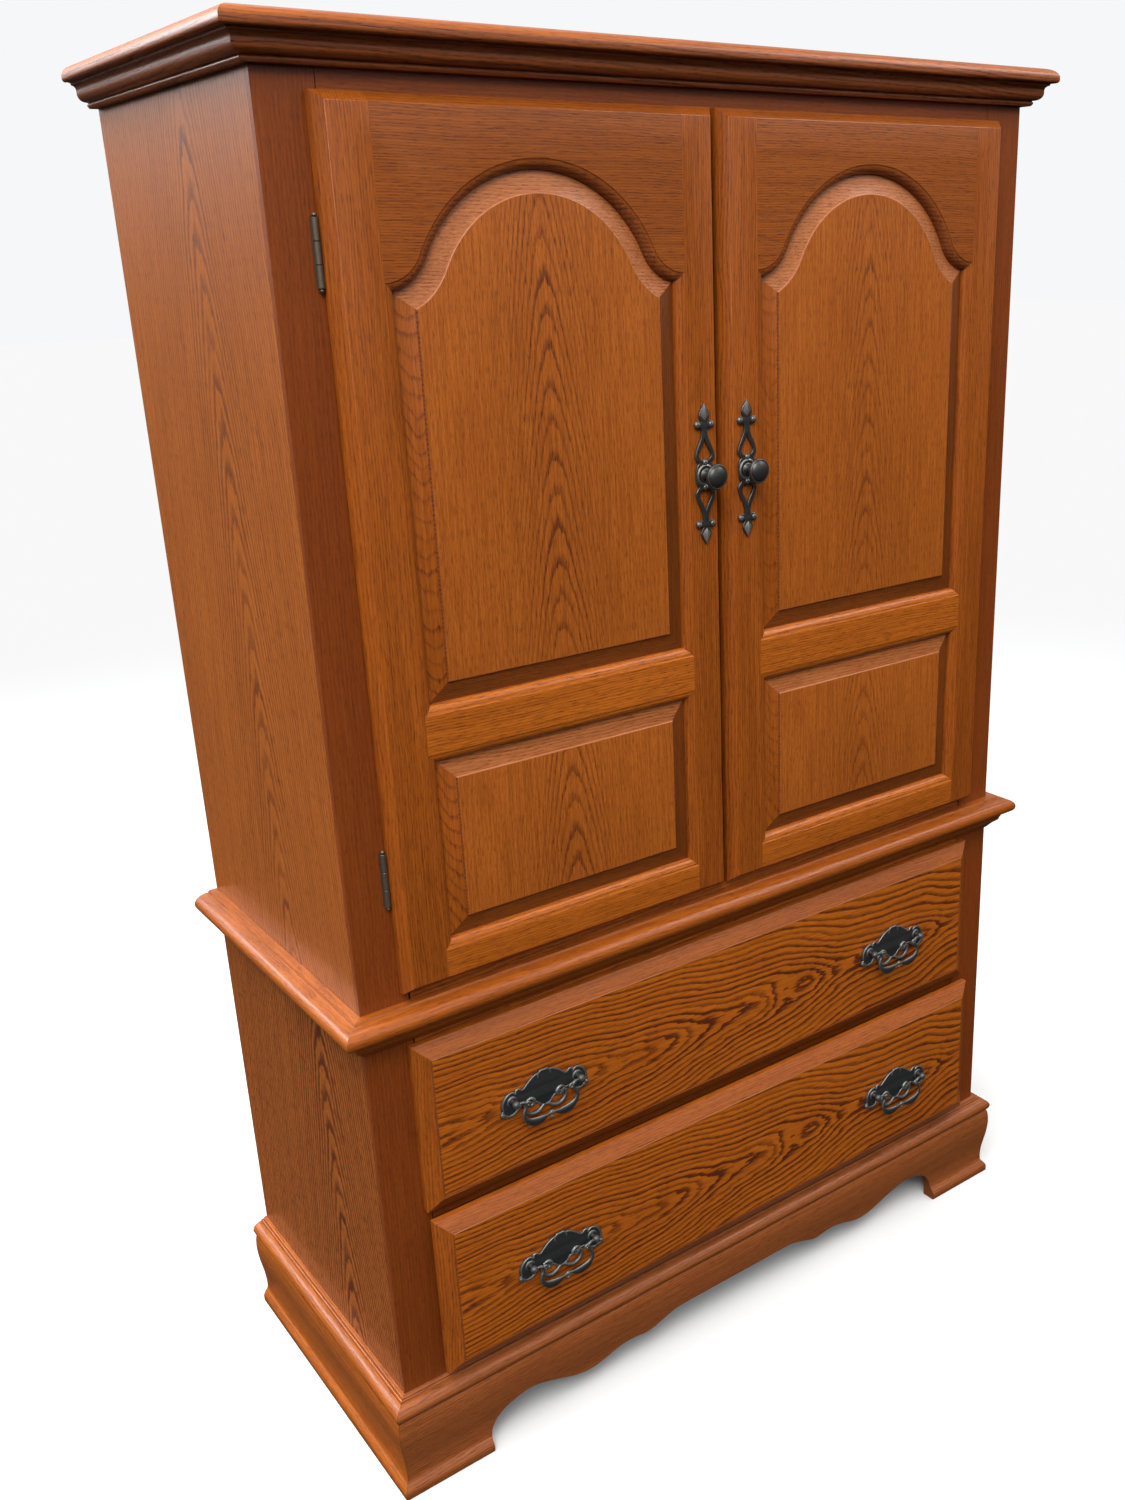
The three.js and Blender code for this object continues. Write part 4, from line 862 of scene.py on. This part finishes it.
def door_frame(side, s):
    mid_x, half_x = s * (DOOR_OUTER + DOOR_INNER) / 2, (DOOR_OUTER - DOOR_INNER) / 2
    mid_z, half_z = (DOOR_Z + DOOR_TOP) / 2, (DOOR_TOP - DOOR_Z) / 2
    steps = [
        (0.6, DOOR_BACK), (0, DOOR_BACK - 0.6), (0, DOOR_BACK - 6.2), (0.2, DOOR_BACK - 6.9),
        (8.9, DOOR_FACE + 0.5), (9.3, DOOR_FACE + 0.15), (9.9, DOOR_FACE),
    ]
    rings = stepped_rings(mid_x, half_x, mid_z, half_z, steps)
    whole = temporary(rings)
    for which in OUTLINES:
        combine(whole, sticking_cutter(OUTLINES[which], s), "DIFFERENCE", keep=False)
    for level in ("lower", "upper"):
        lo, hi = cad(f"door_{side}_{level}_hinge_door_leaf")
        x0, x1 = (hi[0] - LEAF_WIDTH, hi[0] + 1) if s > 0 else (lo[0] - 1, lo[0] + LEAF_WIDTH)
        pocket = block(x0, x1, lo[2] - 0.4, hi[2] + 0.4, DOOR_BACK - 1.4, DOOR_BACK + 1)
        combine(whole, pocket, "DIFFERENCE", keep=False)
    zones = {
        "inner_stile": stile_zone(s, OPEN_INNER, DOOR_INNER - 2),
        "outer_stile": stile_zone(s, OPEN_OUTER, DOOR_OUTER + 2),
    }
    cuts = {
        "bottom_rail": (DOOR_Z - 2, LOWER_Z[0] + WELL_INSIDE),
        "middle_rail": (LOWER_Z[0] + WELL_INSIDE, UPPER_Z + WELL_INSIDE),
        "top_rail": (UPPER_Z + WELL_INSIDE, DOOR_TOP + 2),
    }

    def share(part, zone, keep, looks):
        """The part of the frame that lies in a zone."""
        piece = temporary(rings)
        piece.data = whole.data.copy()
        combine(piece, zone, "INTERSECT", keep)
        mesh = piece.data
        bpy.data.objects.remove(piece)
        return finish_mesh(f"{side}_{part}", mesh, looks, "door_" + side, [f"door_{side}_{part}"])

    for part, zone in zones.items():
        share(part, zone, True, [oak_up if part == "inner_stile" else oak_up_2])
    for zone in zones.values():
        combine(whole, zone, "DIFFERENCE", keep=False)
    x0, x1 = sorted((s * (DOOR_INNER - 2), s * (DOOR_OUTER + 2)))
    for part, (low, high) in cuts.items():
        # Top rails darker as painted shade, the other rails lighter as painted light.
        looks = [oak_arch_rail_shaded if part == "top_rail" else oak_across_lit, oak_shade_and_stain_x]
        rail = share(part, block(x0, x1, low, high), False, looks)
        if part == "top_rail":
            stain_and_shade_arch(rail)
    bpy.data.objects.remove(whole)


def stain_and_shade_arch(rail):
    """The arch's moulded edge is end grain, which took the stain darker; it is darkened further as
    painted shade, since it faces down.
    """
    front, low_side = (DOOR_FACE + 0.3 + FACE_Y) * MM, (DOOR_TOP - 20) * MM
    for face in rail.data.polygons:
        if face.center.y > front and face.center.z < low_side and abs(face.normal.y) < 0.99:
            face.material_index = 1


def door_panel(side, s, which):
    lo, hi = cad(f"door_{side}_{which}_panel")
    back, face = hi[1], lo[1]
    field = STICKING + PANEL_BEVEL
    groove = DOOR_FACE + STICKING_DEPTH + 0.9
    steps = [
        (3, back), (3, groove), (STICKING + 0.2, groove - 0.1), (field - 1.2, face + 1.6),
        (field - 0.7, face + 1.45), (field - 0.45, face + 0.3), (field - 0.1, face + 0.05),
        (field + 0.4, face),
    ]
    rings = door_rings(OUTLINES[which], s, steps)
    count = len(rings[0])
    left_edge = count - 1 if s > 0 else 1

    def tags(ring, i):
        """Side 0 is the bottom, 1 and the last are the upright sides, and the rest is the top."""
        if i is None:
            return 0
        # The arris by the field: a painted highlight along the top, a painted shade line along the
        # bottom and upright sides.
        if ring >= len(steps) - 5:
            return 5 if i in (0, 1, count - 1) else 4
        # The right bevel is darkened as painted shade; the left shows the wavy grain.
        if i in (1, count - 1):
            return 3 if i == left_edge else 1
        # The bottom bevel is darkened as painted shade, and the top bevels carry a painted sheen.
        return 6 if i == 0 else 2

    verts, faces, indices = loft(rings, tags=tags)
    mesh = mesh_from(f"{side}_{which}_panel", verts, faces, indices)
    materials = [
        panel_face(side, which),
        oak_painted_shade_up,
        oak_top_bevel_sheen,
        wavy_bevel(side, which),
        oak_painted_highlight,
        oak_shade_and_stain_x,
        oak_painted_shade_across,
    ]
    name = f"{side}_{which}_raised_panel"
    finish_mesh(name, mesh, materials, "door_" + side, [f"door_{side}_{which}_panel"], angle=25)


for side, s in SIDES.items():
    door_frame(side, s)
    for which in OUTLINES:
        door_panel(side, s, which)

# ---------- Metal: turned, flat and swept pieces ----------


def lathe(profile, at, axis="y", steps=40):
    """Turned shape from (radius, height) points. The axis runs to the front, up or sideways."""
    rings = []
    for r, h in profile:
        ring = []
        for k in range(steps):
            a = 2 * math.pi * k / steps
            if axis == "y":
                p = (at[0] + r * math.cos(a), at[1] - h, at[2] + r * math.sin(a))
            elif axis == "z":
                p = (at[0] + r * math.cos(a), at[1] + r * math.sin(a), at[2] + h)
            else:
                p = (at[0] + h, at[1] + r * math.cos(a), at[2] + r * math.sin(a))
            ring.append(p)
        rings.append(ring)
    verts, faces, _ = loft(rings, caps=False)
    return verts, faces


def sweep(path, sizes, sides=14):
    """A rod through points: sizes gives its (half width, half thickness to the front) at each."""
    up = Vector((0, -1, 0))
    rings = []
    for i, p in enumerate(path):
        before, after = Vector(path[max(i - 1, 0)]), Vector(path[min(i + 1, len(path) - 1)])
        t = (after - before).normalized()
        n = t.cross(up).normalized()
        b = n.cross(t).normalized()
        a, c = sizes[i]
        ring = []
        for k in range(sides):
            w = 2 * math.pi * k / sides
            ring.append(tuple(Vector(p) + n * a * math.cos(w) + b * c * math.sin(w)))
        rings.append(ring)
    verts, faces, _ = loft(rings)
    return verts, faces


def plate(outlines, thickness, at, bevel=0.9):
    """A flat casting in the X-Z plane with rounded edges; its back lies at at[1]."""
    curve = bpy.data.curves.new("plate", "CURVE")
    curve.dimensions = "2D"
    curve.fill_mode = "BOTH"
    curve.extrude = thickness / 2 - bevel
    curve.bevel_depth = bevel
    curve.bevel_resolution = 3
    curve.offset = -bevel
    for outline in outlines:
        line = curve.splines.new("POLY")
        line.points.add(len(outline) - 1)
        for point, (x, z) in zip(line.points, outline):
            point.co = (x, z, 0, 1)
        line.use_cyclic_u = True
    piece = bpy.data.objects.new("plate", curve)
    bpy.context.scene.collection.objects.link(piece)
    mesh = evaluated_mesh(piece)
    bpy.data.objects.remove(piece)
    verts = [
        (at[0] + v.co.x, at[1] - thickness / 2 - v.co.z, at[2] + v.co.y) for v in mesh.vertices
    ]
    faces = [tuple(p.vertices) for p in mesh.polygons]
    return verts, faces


def gather(shapes):
    verts, faces = [], []
    for v, f in shapes:
        start = len(verts)
        verts += v
        faces += [tuple(i + start for i in face) for face in f]
    return verts, faces


def metal_piece(name, shapes, material, body, nodes, angle=40):
    verts, faces = gather(shapes)
    return finish_mesh(name, mesh_from(name, verts, faces), [material], body, nodes, angle)


def ball(x, y, z, r, flat=1.0):
    """A ball, flattened to the front where flat is less than 1."""
    steps = 10
    profile = [
        (r * math.sin(math.pi * k / steps), -r * flat * math.cos(math.pi * k / steps))
        for k in range(steps + 1)
    ]
    return lathe(profile, (x, y, z), steps=20)


def knob_profile():
    rim = smooth([(8.8, 15.6), (12.0, 16.6), (13.9, 18.8), (13.9, 20.6), (13.2, 21.9)], 4)
    groove = [(12.5, 22.1), (11.9, 21.7), (11.5, 22.1)]
    face = smooth([(11.2, 22.6), (9.4, 24.0), (6.6, 25.2), (3.4, 25.9), (0, 26.1)], 5)
    neck = smooth([(6.4, 1.2), (5.0, 3.4), (4.3, 6.4), (4.8, 11), (8.6, 15.2)], 4)
    return [(0, 0), (6.8, 0), (7, 0.8)] + neck[:-1] + rim + groove + face


CURL = (9.4, 54.4)  # where the small curls sit beside the stem


def knob_outlines():
    """The knob plate's outline, and the two teardrops pierced through it."""
    end = 77
    edge = smooth([(12.6, 0), (12.4, 6), (10.8, 10.5), (8.6, 13)], 4)
    loop = [(8.6, 13), (12.6, 17.5), (13.2, 22), (10.6, 29.5), (6.6, 37), (4.4, 43), (4.0, 49)]
    loop = smooth(loop, 5)
    crest = [
        *smooth([(4.2, 50.6), (7, 49.6), (10.6, 50.2), (13.0, 52.6), (13.2, 55.8), (11.2, 58.2)], 4),
        *smooth([(11.2, 58.2), (8.2, 58.6), (6.0, 57.4), (4.4, 57.8)], 4)[1:],
        *smooth([(4.4, 57.8), (6.4, 61.4), (7.4, 64.8), (5.4, 69.4), (2.4, 73.4), (0, end)], 4)[1:],
    ]
    quarter = edge[:-1] + loop[:-1] + crest
    upper = quarter + [(-x, z) for x, z in quarter[::-1]][1:]
    lower = [(-x, -z) for x, z in upper]
    outline = upper[:-1] + lower[:-1]
    holes = []
    for up in (-1, 1):
        drop = smooth([(0, 39), (2.6, 33), (6.6, 26.6), (8.4, 21.6), (5.6, 17.4), (0, 16.2)], 5)
        hole = drop + [(-x, z) for x, z in drop[::-1]][1:-1]
        holes.append([(x, up * z) for x, z in hole])
    return [outline] + holes


def leaf(at, up):
    """The pointed end: four facets meeting on a raised middle ridge."""
    low, wide, tip = 58.6, 64.8, 76.0
    ridge = [(0, -3.2, up * low), (0, -5.4, up * wide), (0, -3.2, up * tip)]
    sides = [(6.6, -2.4, up * wide), (-6.6, -2.4, up * wide)]
    verts = [tuple(a + b for a, b in zip(at, p)) for p in ridge + sides]
    faces = [(0, 1, 3), (1, 2, 3), (1, 0, 4), (2, 1, 4), (0, 3, 2, 4)]
    return verts, faces if up > 0 else [face[::-1] for face in faces]


for side, s in SIDES.items():
    lo, hi = cad(f"door_{side}_knob_plate")
    at = ((lo[0] + hi[0]) / 2, hi[1], (lo[2] + hi[2]) / 2)
    shapes = [plate(knob_outlines(), 2.8, at, 0.9)]
    shapes.append(lathe([(0, 2.2), (11.6, 2.2), (11.8, 3.0), (10.4, 3.9), (8.8, 3.4), (0, 3.3)], at))
    for up in (-1, 1):
        shapes.append(ball(at[0], at[1] - 2.4, at[2] + up * 13.6, 3.4, 0.7))
        for out in (-1, 1):
            shapes.append(ball(at[0] + out * CURL[0], at[1] - 2.2, at[2] + up * CURL[1], 3.5, 0.7))
        shapes.append(leaf(at, up))
    name = side + "_knob_plate"
    metal_piece(name, shapes, gunmetal, "door_" + side, [f"door_{side}_knob_plate"])
    lo, hi = cad(f"door_{side}_knob")
    at = ((lo[0] + hi[0]) / 2, hi[1], (lo[2] + hi[2]) / 2)
    shapes = [lathe(knob_profile(), at, steps=56)]
    metal_piece(side + "_knob", shapes, gunmetal, "door_" + side, [f"door_{side}_knob"], 50)

POST = 88.9 / 2  # a pull's post from its middle


def pull_outline():
    """The pull plate's outline, drawn from its crest down to the middle of its lower edge."""
    return mirror(
        [
            (0, 25.6),
            *smooth([(2, 25.7), (5, 25.4), (7, 23.6)], 3),
            *smooth([(7.6, 23.4), (12, 22.6), (18, 19.4), (24, 14.6), (29, 10.2), (32.4, 9.8)], 4),
            *smooth([(32.8, 10.2), (36, 12.8), (39, 12), (40.6, 7.6)], 3),
            *smooth([(41, 8.6), (45, 11.2), (50, 10.2), (55, 6.2), (58.4, 0), (58.8, -7)], 4),
            *smooth([(58.2, -9.4), (60.2, -12), (59.8, -16), (56.6, -18.4), (52, -18.2)], 4),
            *smooth([(51, -19.6), (46, -20.4), (42.4, -17.6), (39, -12.2), (33, -9.6)], 4),
            *smooth([(30, -9.8), (24, -11.4), (17, -12.6), (11, -15.4), (6, -20.6), (0, -22.4)], 4),
        ]
    )


def scroll(at, points, sizes):
    """A raised scroll line on the pull's face, tapering by the sizes."""
    path = smooth([(at[0] + x, at[1] + y, at[2] + z) for x, y, z in points], 5)
    spread = smooth([(a, a) for a in sizes], 5)
    return sweep(path, spread, sides=10)


def front_middle(drawer):
    """Height of the middle of a drawer's front."""
    lo, hi = cad(drawer + "_front")
    return (lo[2] + hi[2]) / 2


def points_at(s, *points):
    """Points of a scroll, on the left for s = -1 and on the right for s = 1."""
    return [(s * x, y, z) for x, y, z in points]


def pull_plate(name, drawer):
    lo, hi = cad(name)
    at = ((lo[0] + hi[0]) / 2, hi[1], front_middle(drawer))
    outline = pull_outline()
    shapes = [plate([outline], 2.6, at, 1.0)]
    edge = [(at[0] + x * 0.965, at[1] - 2.4, at[2] + z * 0.965) for x, z in outline]
    shapes.append(sweep(edge + edge[:1], [(1.0, 0.8)] * (len(edge) + 1), sides=8))
    for s in (-1, 1):
        rim = [(26, -2.2, -8), (20, -2.6, -6), (15.6, -2.8, -9.6), (17, -2.8, -14)]
        rim += [(21.5, -2.6, -15), (23.6, -2.4, -12)]
        shapes.append(scroll(at, points_at(s, *rim), [1.4, 2.1, 2.3, 2.1, 1.9, 2.5]))
        low = [(3, -2, -21), (8, -2.4, -25), (15, -2.6, -27.4), (22, -2.6, -25.6)]
        low += [(27.4, -2.4, -20), (28, -2.2, -13.6), (24.4, -2.2, -10.6)]
        shapes.append(scroll(at, points_at(s, *low), [1.8, 2.3, 2.5, 2.3, 2.1, 1.9, 1.3]))
        ear = [(33, -2, -10), (37, -2.4, -13.6), (43, -2.4, -17.4), (50, -2.2, -18), (54.6, -2, -14.6)]
        shapes.append(scroll(at, points_at(s, *ear), [1.2, 1.5, 1.6, 1.4, 1.0]))
        crease = [(7.2, -2.2, 23), (8.4, -2.4, 19), (8.0, -2.2, 15.6)]
        shapes.append(scroll(at, points_at(s, *crease), [0.7, 1.0, 0.3]))
        shapes.append(ball(at[0] + s * 57.4, at[1] - 2, at[2] - 14, 3.0, 0.8))
        post = [(0, 0.5), (6.4, 0.5), (6.4, 2.8), (5.4, 3.8), (3.2, 4.6), (2.7, 5.6), (2.7, 7.4)]
        head = arc(0, 12, 4.8, -58, 90, 12)
        centre = (at[0] + s * POST, at[1], at[2])
        shapes.append(lathe(post + head[:-1] + [(0, 16.8)], centre, steps=28))
    metal_piece(name + "_cast", shapes, pewter, drawer, [name])


PIVOT_REACH = 12  # a bail's pivot in front of the plate's back


def bail(name, drawer):
    """The hanging handle: pins, curled arms, two leaf-shaped lobes and a small knot between them."""
    lo, hi = cad(name)
    plate_back = cad(name.replace("bail", "pull_plate"))[1][1]
    pivot = ((lo[0] + hi[0]) / 2, plate_back - PIVOT_REACH, front_middle(drawer))
    shapes = []

    def rod(points, sizes, sides):
        path = smooth([tuple(c + p for c, p in zip(pivot, q)) for q in points], 5)
        shapes.append(sweep(path, smooth(sizes, 5), sides))

    for s in (-1, 1):
        arm = [(39.4, 0, 0), (35.6, -0.3, -0.6), (32.4, -0.8, -3), (32.6, -1.4, -7)]
        arm += [(35.4, -2.0, -11.6), (36.4, -2.5, -17), (33.6, -2.9, -23.4), (28, -3, -28)]
        arm += [(20, -3, -30.4), (12, -3, -29.6), (6.4, -3, -27.6), (2.4, -3, -26.6)]
        sizes = [(1.3, 1.3), (2.2, 2.1), (2.4, 2.1), (2.1, 1.8), (2.1, 1.8), (2.4, 1.8)]
        sizes += [(3.2, 1.8), (4.7, 1.9), (5.4, 1.9), (4.1, 1.8), (2.1, 1.6), (1.7, 1.5)]
        rod(points_at(s, *arm), sizes, 14)
        pin = (pivot[0] + (38.4 if s > 0 else -44.1), pivot[1], pivot[2])
        shapes.append(lathe([(0, 0), (1.2, 0), (1.2, 5.7), (0, 5.7)], pin, "x", 16))
        curl = [(33.4, -0.6, -2.4), (30, -1, -1.2), (27.6, -1.2, -2.6), (28, -1.2, -5.2)]
        curl += [(30, -1.2, -5.6)]
        rod(points_at(s, *curl), [(1.5, 1.5), (1.5, 1.5), (1.4, 1.4), (1.2, 1.2), (1.7, 1.5)], 10)
    shapes.append(ball(pivot[0], pivot[1] - 3, pivot[2] - 26.4, 3.2, 0.8))
    shapes.append(ball(pivot[0], pivot[1] - 3, pivot[2] - 31.6, 2.2, 0.8))
    metal_piece(name + "_cast", shapes, pewter, name, [name])


for drawer in ("drawer_upper", "drawer_lower"):
    for side in SIDES:
        pull_plate(f"{drawer}_pull_plate_{side}", drawer)
        bail(f"{drawer}_bail_{side}", drawer)

# ---------- Hinges: knuckles round a pin with ball tips, and leaves ----------

HINGE_X = 446.5
HINGE_Y = -3.4
KNUCKLE = 3.1
KNUCKLE_GAP = 0.3


def knuckle(x, y, z0, z1):
    """One barrel of a hinge, with a small chamfer at each end."""
    inner = KNUCKLE - 0.35
    profile = [(0, z0), (inner, z0), (KNUCKLE, z0 + 0.35), (KNUCKLE, z1 - 0.35), (inner, z1), (0, z1)]
    return lathe(profile, (x, y, 0), "z", 32)


def box_shape(*sides):
    verts, faces, _ = loft(box_rings(*sides))
    return verts, faces


for side, s in SIDES.items():
    for level in ("lower", "upper"):
        name = f"door_{side}_{level}_hinge"
        dlo, dhi = cad(name + "_door_leaf")
        x, y = s * HINGE_X, HINGE_Y
        z0, z1 = dlo[2], dhi[2]
        third = (z1 - z0) / 3
        shapes = []
        for a, b in ((z0, z0 + third - KNUCKLE_GAP), (z1 - third + KNUCKLE_GAP, z1)):
            shapes.append(knuckle(x, y, a, b))
            shapes.append(box_shape(x - 1.4, x + 1.4, y + 1, 0.6, a + 0.4, b - 0.4))
        for end, tip in ((z1, 1), (z0, -1)):
            profile = [(0, -0.5), (1.5, -0.5), (1.5, 0.5), (2.3, 1.3), (2.4, 2.2), (1.6, 3.6), (0, 4.2)]
            shapes.append(lathe([(r, tip * h) for r, h in profile], (x, y, end), "z", 24))
        x0, x1 = sorted((x + s * KNUCKLE, x + s * (KNUCKLE - 16)))
        shapes.append(box_shape(x0, x1, 0, 1, z0, z1))
        metal_piece(name + "_fixed", shapes, bronze, "case", [name + "_frame_leaf"])
        shapes = [knuckle(x, y, z0 + third + KNUCKLE_GAP, z1 - third - KNUCKLE_GAP)]
        x0, x1 = sorted((x - s * 3.5, x - s * 17.5))
        shapes.append(box_shape(x0, x1, -2.5, -1.5, z0, z1))
        x0, x1 = sorted((x - s * 4.5, x - s * 0.5))
        shapes.append(box_shape(x0, x1, -2.5, -1.5, z0 + third + 0.5, z1 - third - 0.5))
        metal_piece(name + "_moving", shapes, bronze, "door_" + side, [name + "_door_leaf"])

# ---------- Studio ----------


def stage_mesh(name, verts, faces, material):
    """A piece of the studio, which the furniture neither reflects nor is lit by."""
    mesh = bpy.data.meshes.new(name)
    mesh.from_pydata(verts, [], faces)
    mesh.materials.append(material)
    piece = bpy.data.objects.new(name, mesh)
    piece.visible_diffuse = False
    piece.visible_glossy = False
    bpy.context.scene.collection.objects.link(piece)


PALE = 0.94  # how bright the backdrop is seen
SKY = 1.1  # how strongly the upper part of the sky lights the piece
floor_look = Graph(bpy.data.materials.new("floor"))
spot = floor_look.node("SeparateXYZ", {0: floor_look.node("TexCoord").outputs["Object"]}).outputs
span = floor_look.math("SQRT", floor_look.add(*(floor_look.times(c, c) for c in spot[:2])))
away = floor_look.remap(span, 1.4, 4.5)
near_tone = floor_look.mix(away, (0.86, 0.86, 0.86, 1), (0, 0, 0, 1))
floor_look.set(Base_Color=near_tone, Roughness=0.9, Specular_IOR_Level=0.0)
floor_look.set(Emission_Color=(1, 1, 1, 1), Emission_Strength=floor_look.times(away, PALE))
REACH = 30  # the floor's half width in metres
corners = [(-REACH, -REACH, 0), (REACH, -REACH, 0), (REACH, REACH, 0), (-REACH, REACH, 0)]
stage_mesh("floor", corners, [(0, 1, 2, 3)], floor_look.owner)

sky = Graph(bpy.data.worlds.new("studio"), "Background")
way = sky.node("SeparateXYZ", {0: sky.node("TexCoord").outputs["Generated"]}).outputs
upper = sky.remap(way[2], -0.05, 0.35, 0.03, SKY)
side_light = sky.node("MapRange", {0: way[0], 1: -0.4, 2: 0.7, 3: 1.3, 4: 0.45}).outputs[0]
is_seen = sky.node("LightPath").outputs["Is Camera Ray"]
seen = sky.node("Mix", {0: is_seen, 2: sky.times(upper, side_light), 3: PALE}).outputs[0]
sky.set(Strength=seen, Color=(0.98, 0.99, 1.0, 1))
bpy.context.scene.world = sky.owner
bpy.context.scene.view_settings.view_transform = "Standard"


def area(name, place, target, size, power, colour):
    light = bpy.data.lights.new(name, "AREA")
    light.shape = "RECTANGLE"
    light.size, light.size_y = size
    light.energy = power
    light.color = colour
    piece = bpy.data.objects.new(name, light)
    piece.location = place
    piece.rotation_euler = (Vector(target) - Vector(place)).to_track_quat("-Z", "Y").to_euler()
    bpy.context.scene.collection.objects.link(piece)


area("key", (-2.2, -2.9, 4.6), (0, -0.1, 0.7), (2.4, 2.4), 180, (1, 0.98, 0.96))
area("overhead", (-1.3, 0.2, 3.5), (0, 0, 0.6), (2.2, 1.6), 55, (1, 0.99, 0.98))
area("sheen", (-2.2, 2.6, 2.7), (-0.4, 0, 0.9), (2.0, 1.4), 65, (0.96, 0.98, 1))
area("gleam", (1.9, -1.3, 2.9), (0, -0.2, 0.8), (1.6, 1.2), 22, (1, 0.99, 0.97))

camera = bpy.data.cameras.new("camera")
camera.sensor_width = 36
camera.lens = 33.93
camera.shift_x = -0.0851
camera.shift_y = 0.0093
viewpoint = bpy.data.objects.new("camera", camera)
right = Vector((0.79332, -0.60830, -0.02458))
up = Vector((0.22547, 0.25606, 0.94000))
back = Vector((-0.56551, -0.75127, 0.34029))
turn = Matrix((right, up, back)).transposed().to_4x4()
viewpoint.matrix_world = Matrix.Translation((-0.9982, -1.2673 + FACE_Y * MM, 1.3927)) @ turn
bpy.context.scene.collection.objects.link(viewpoint)
bpy.context.scene.camera = viewpoint
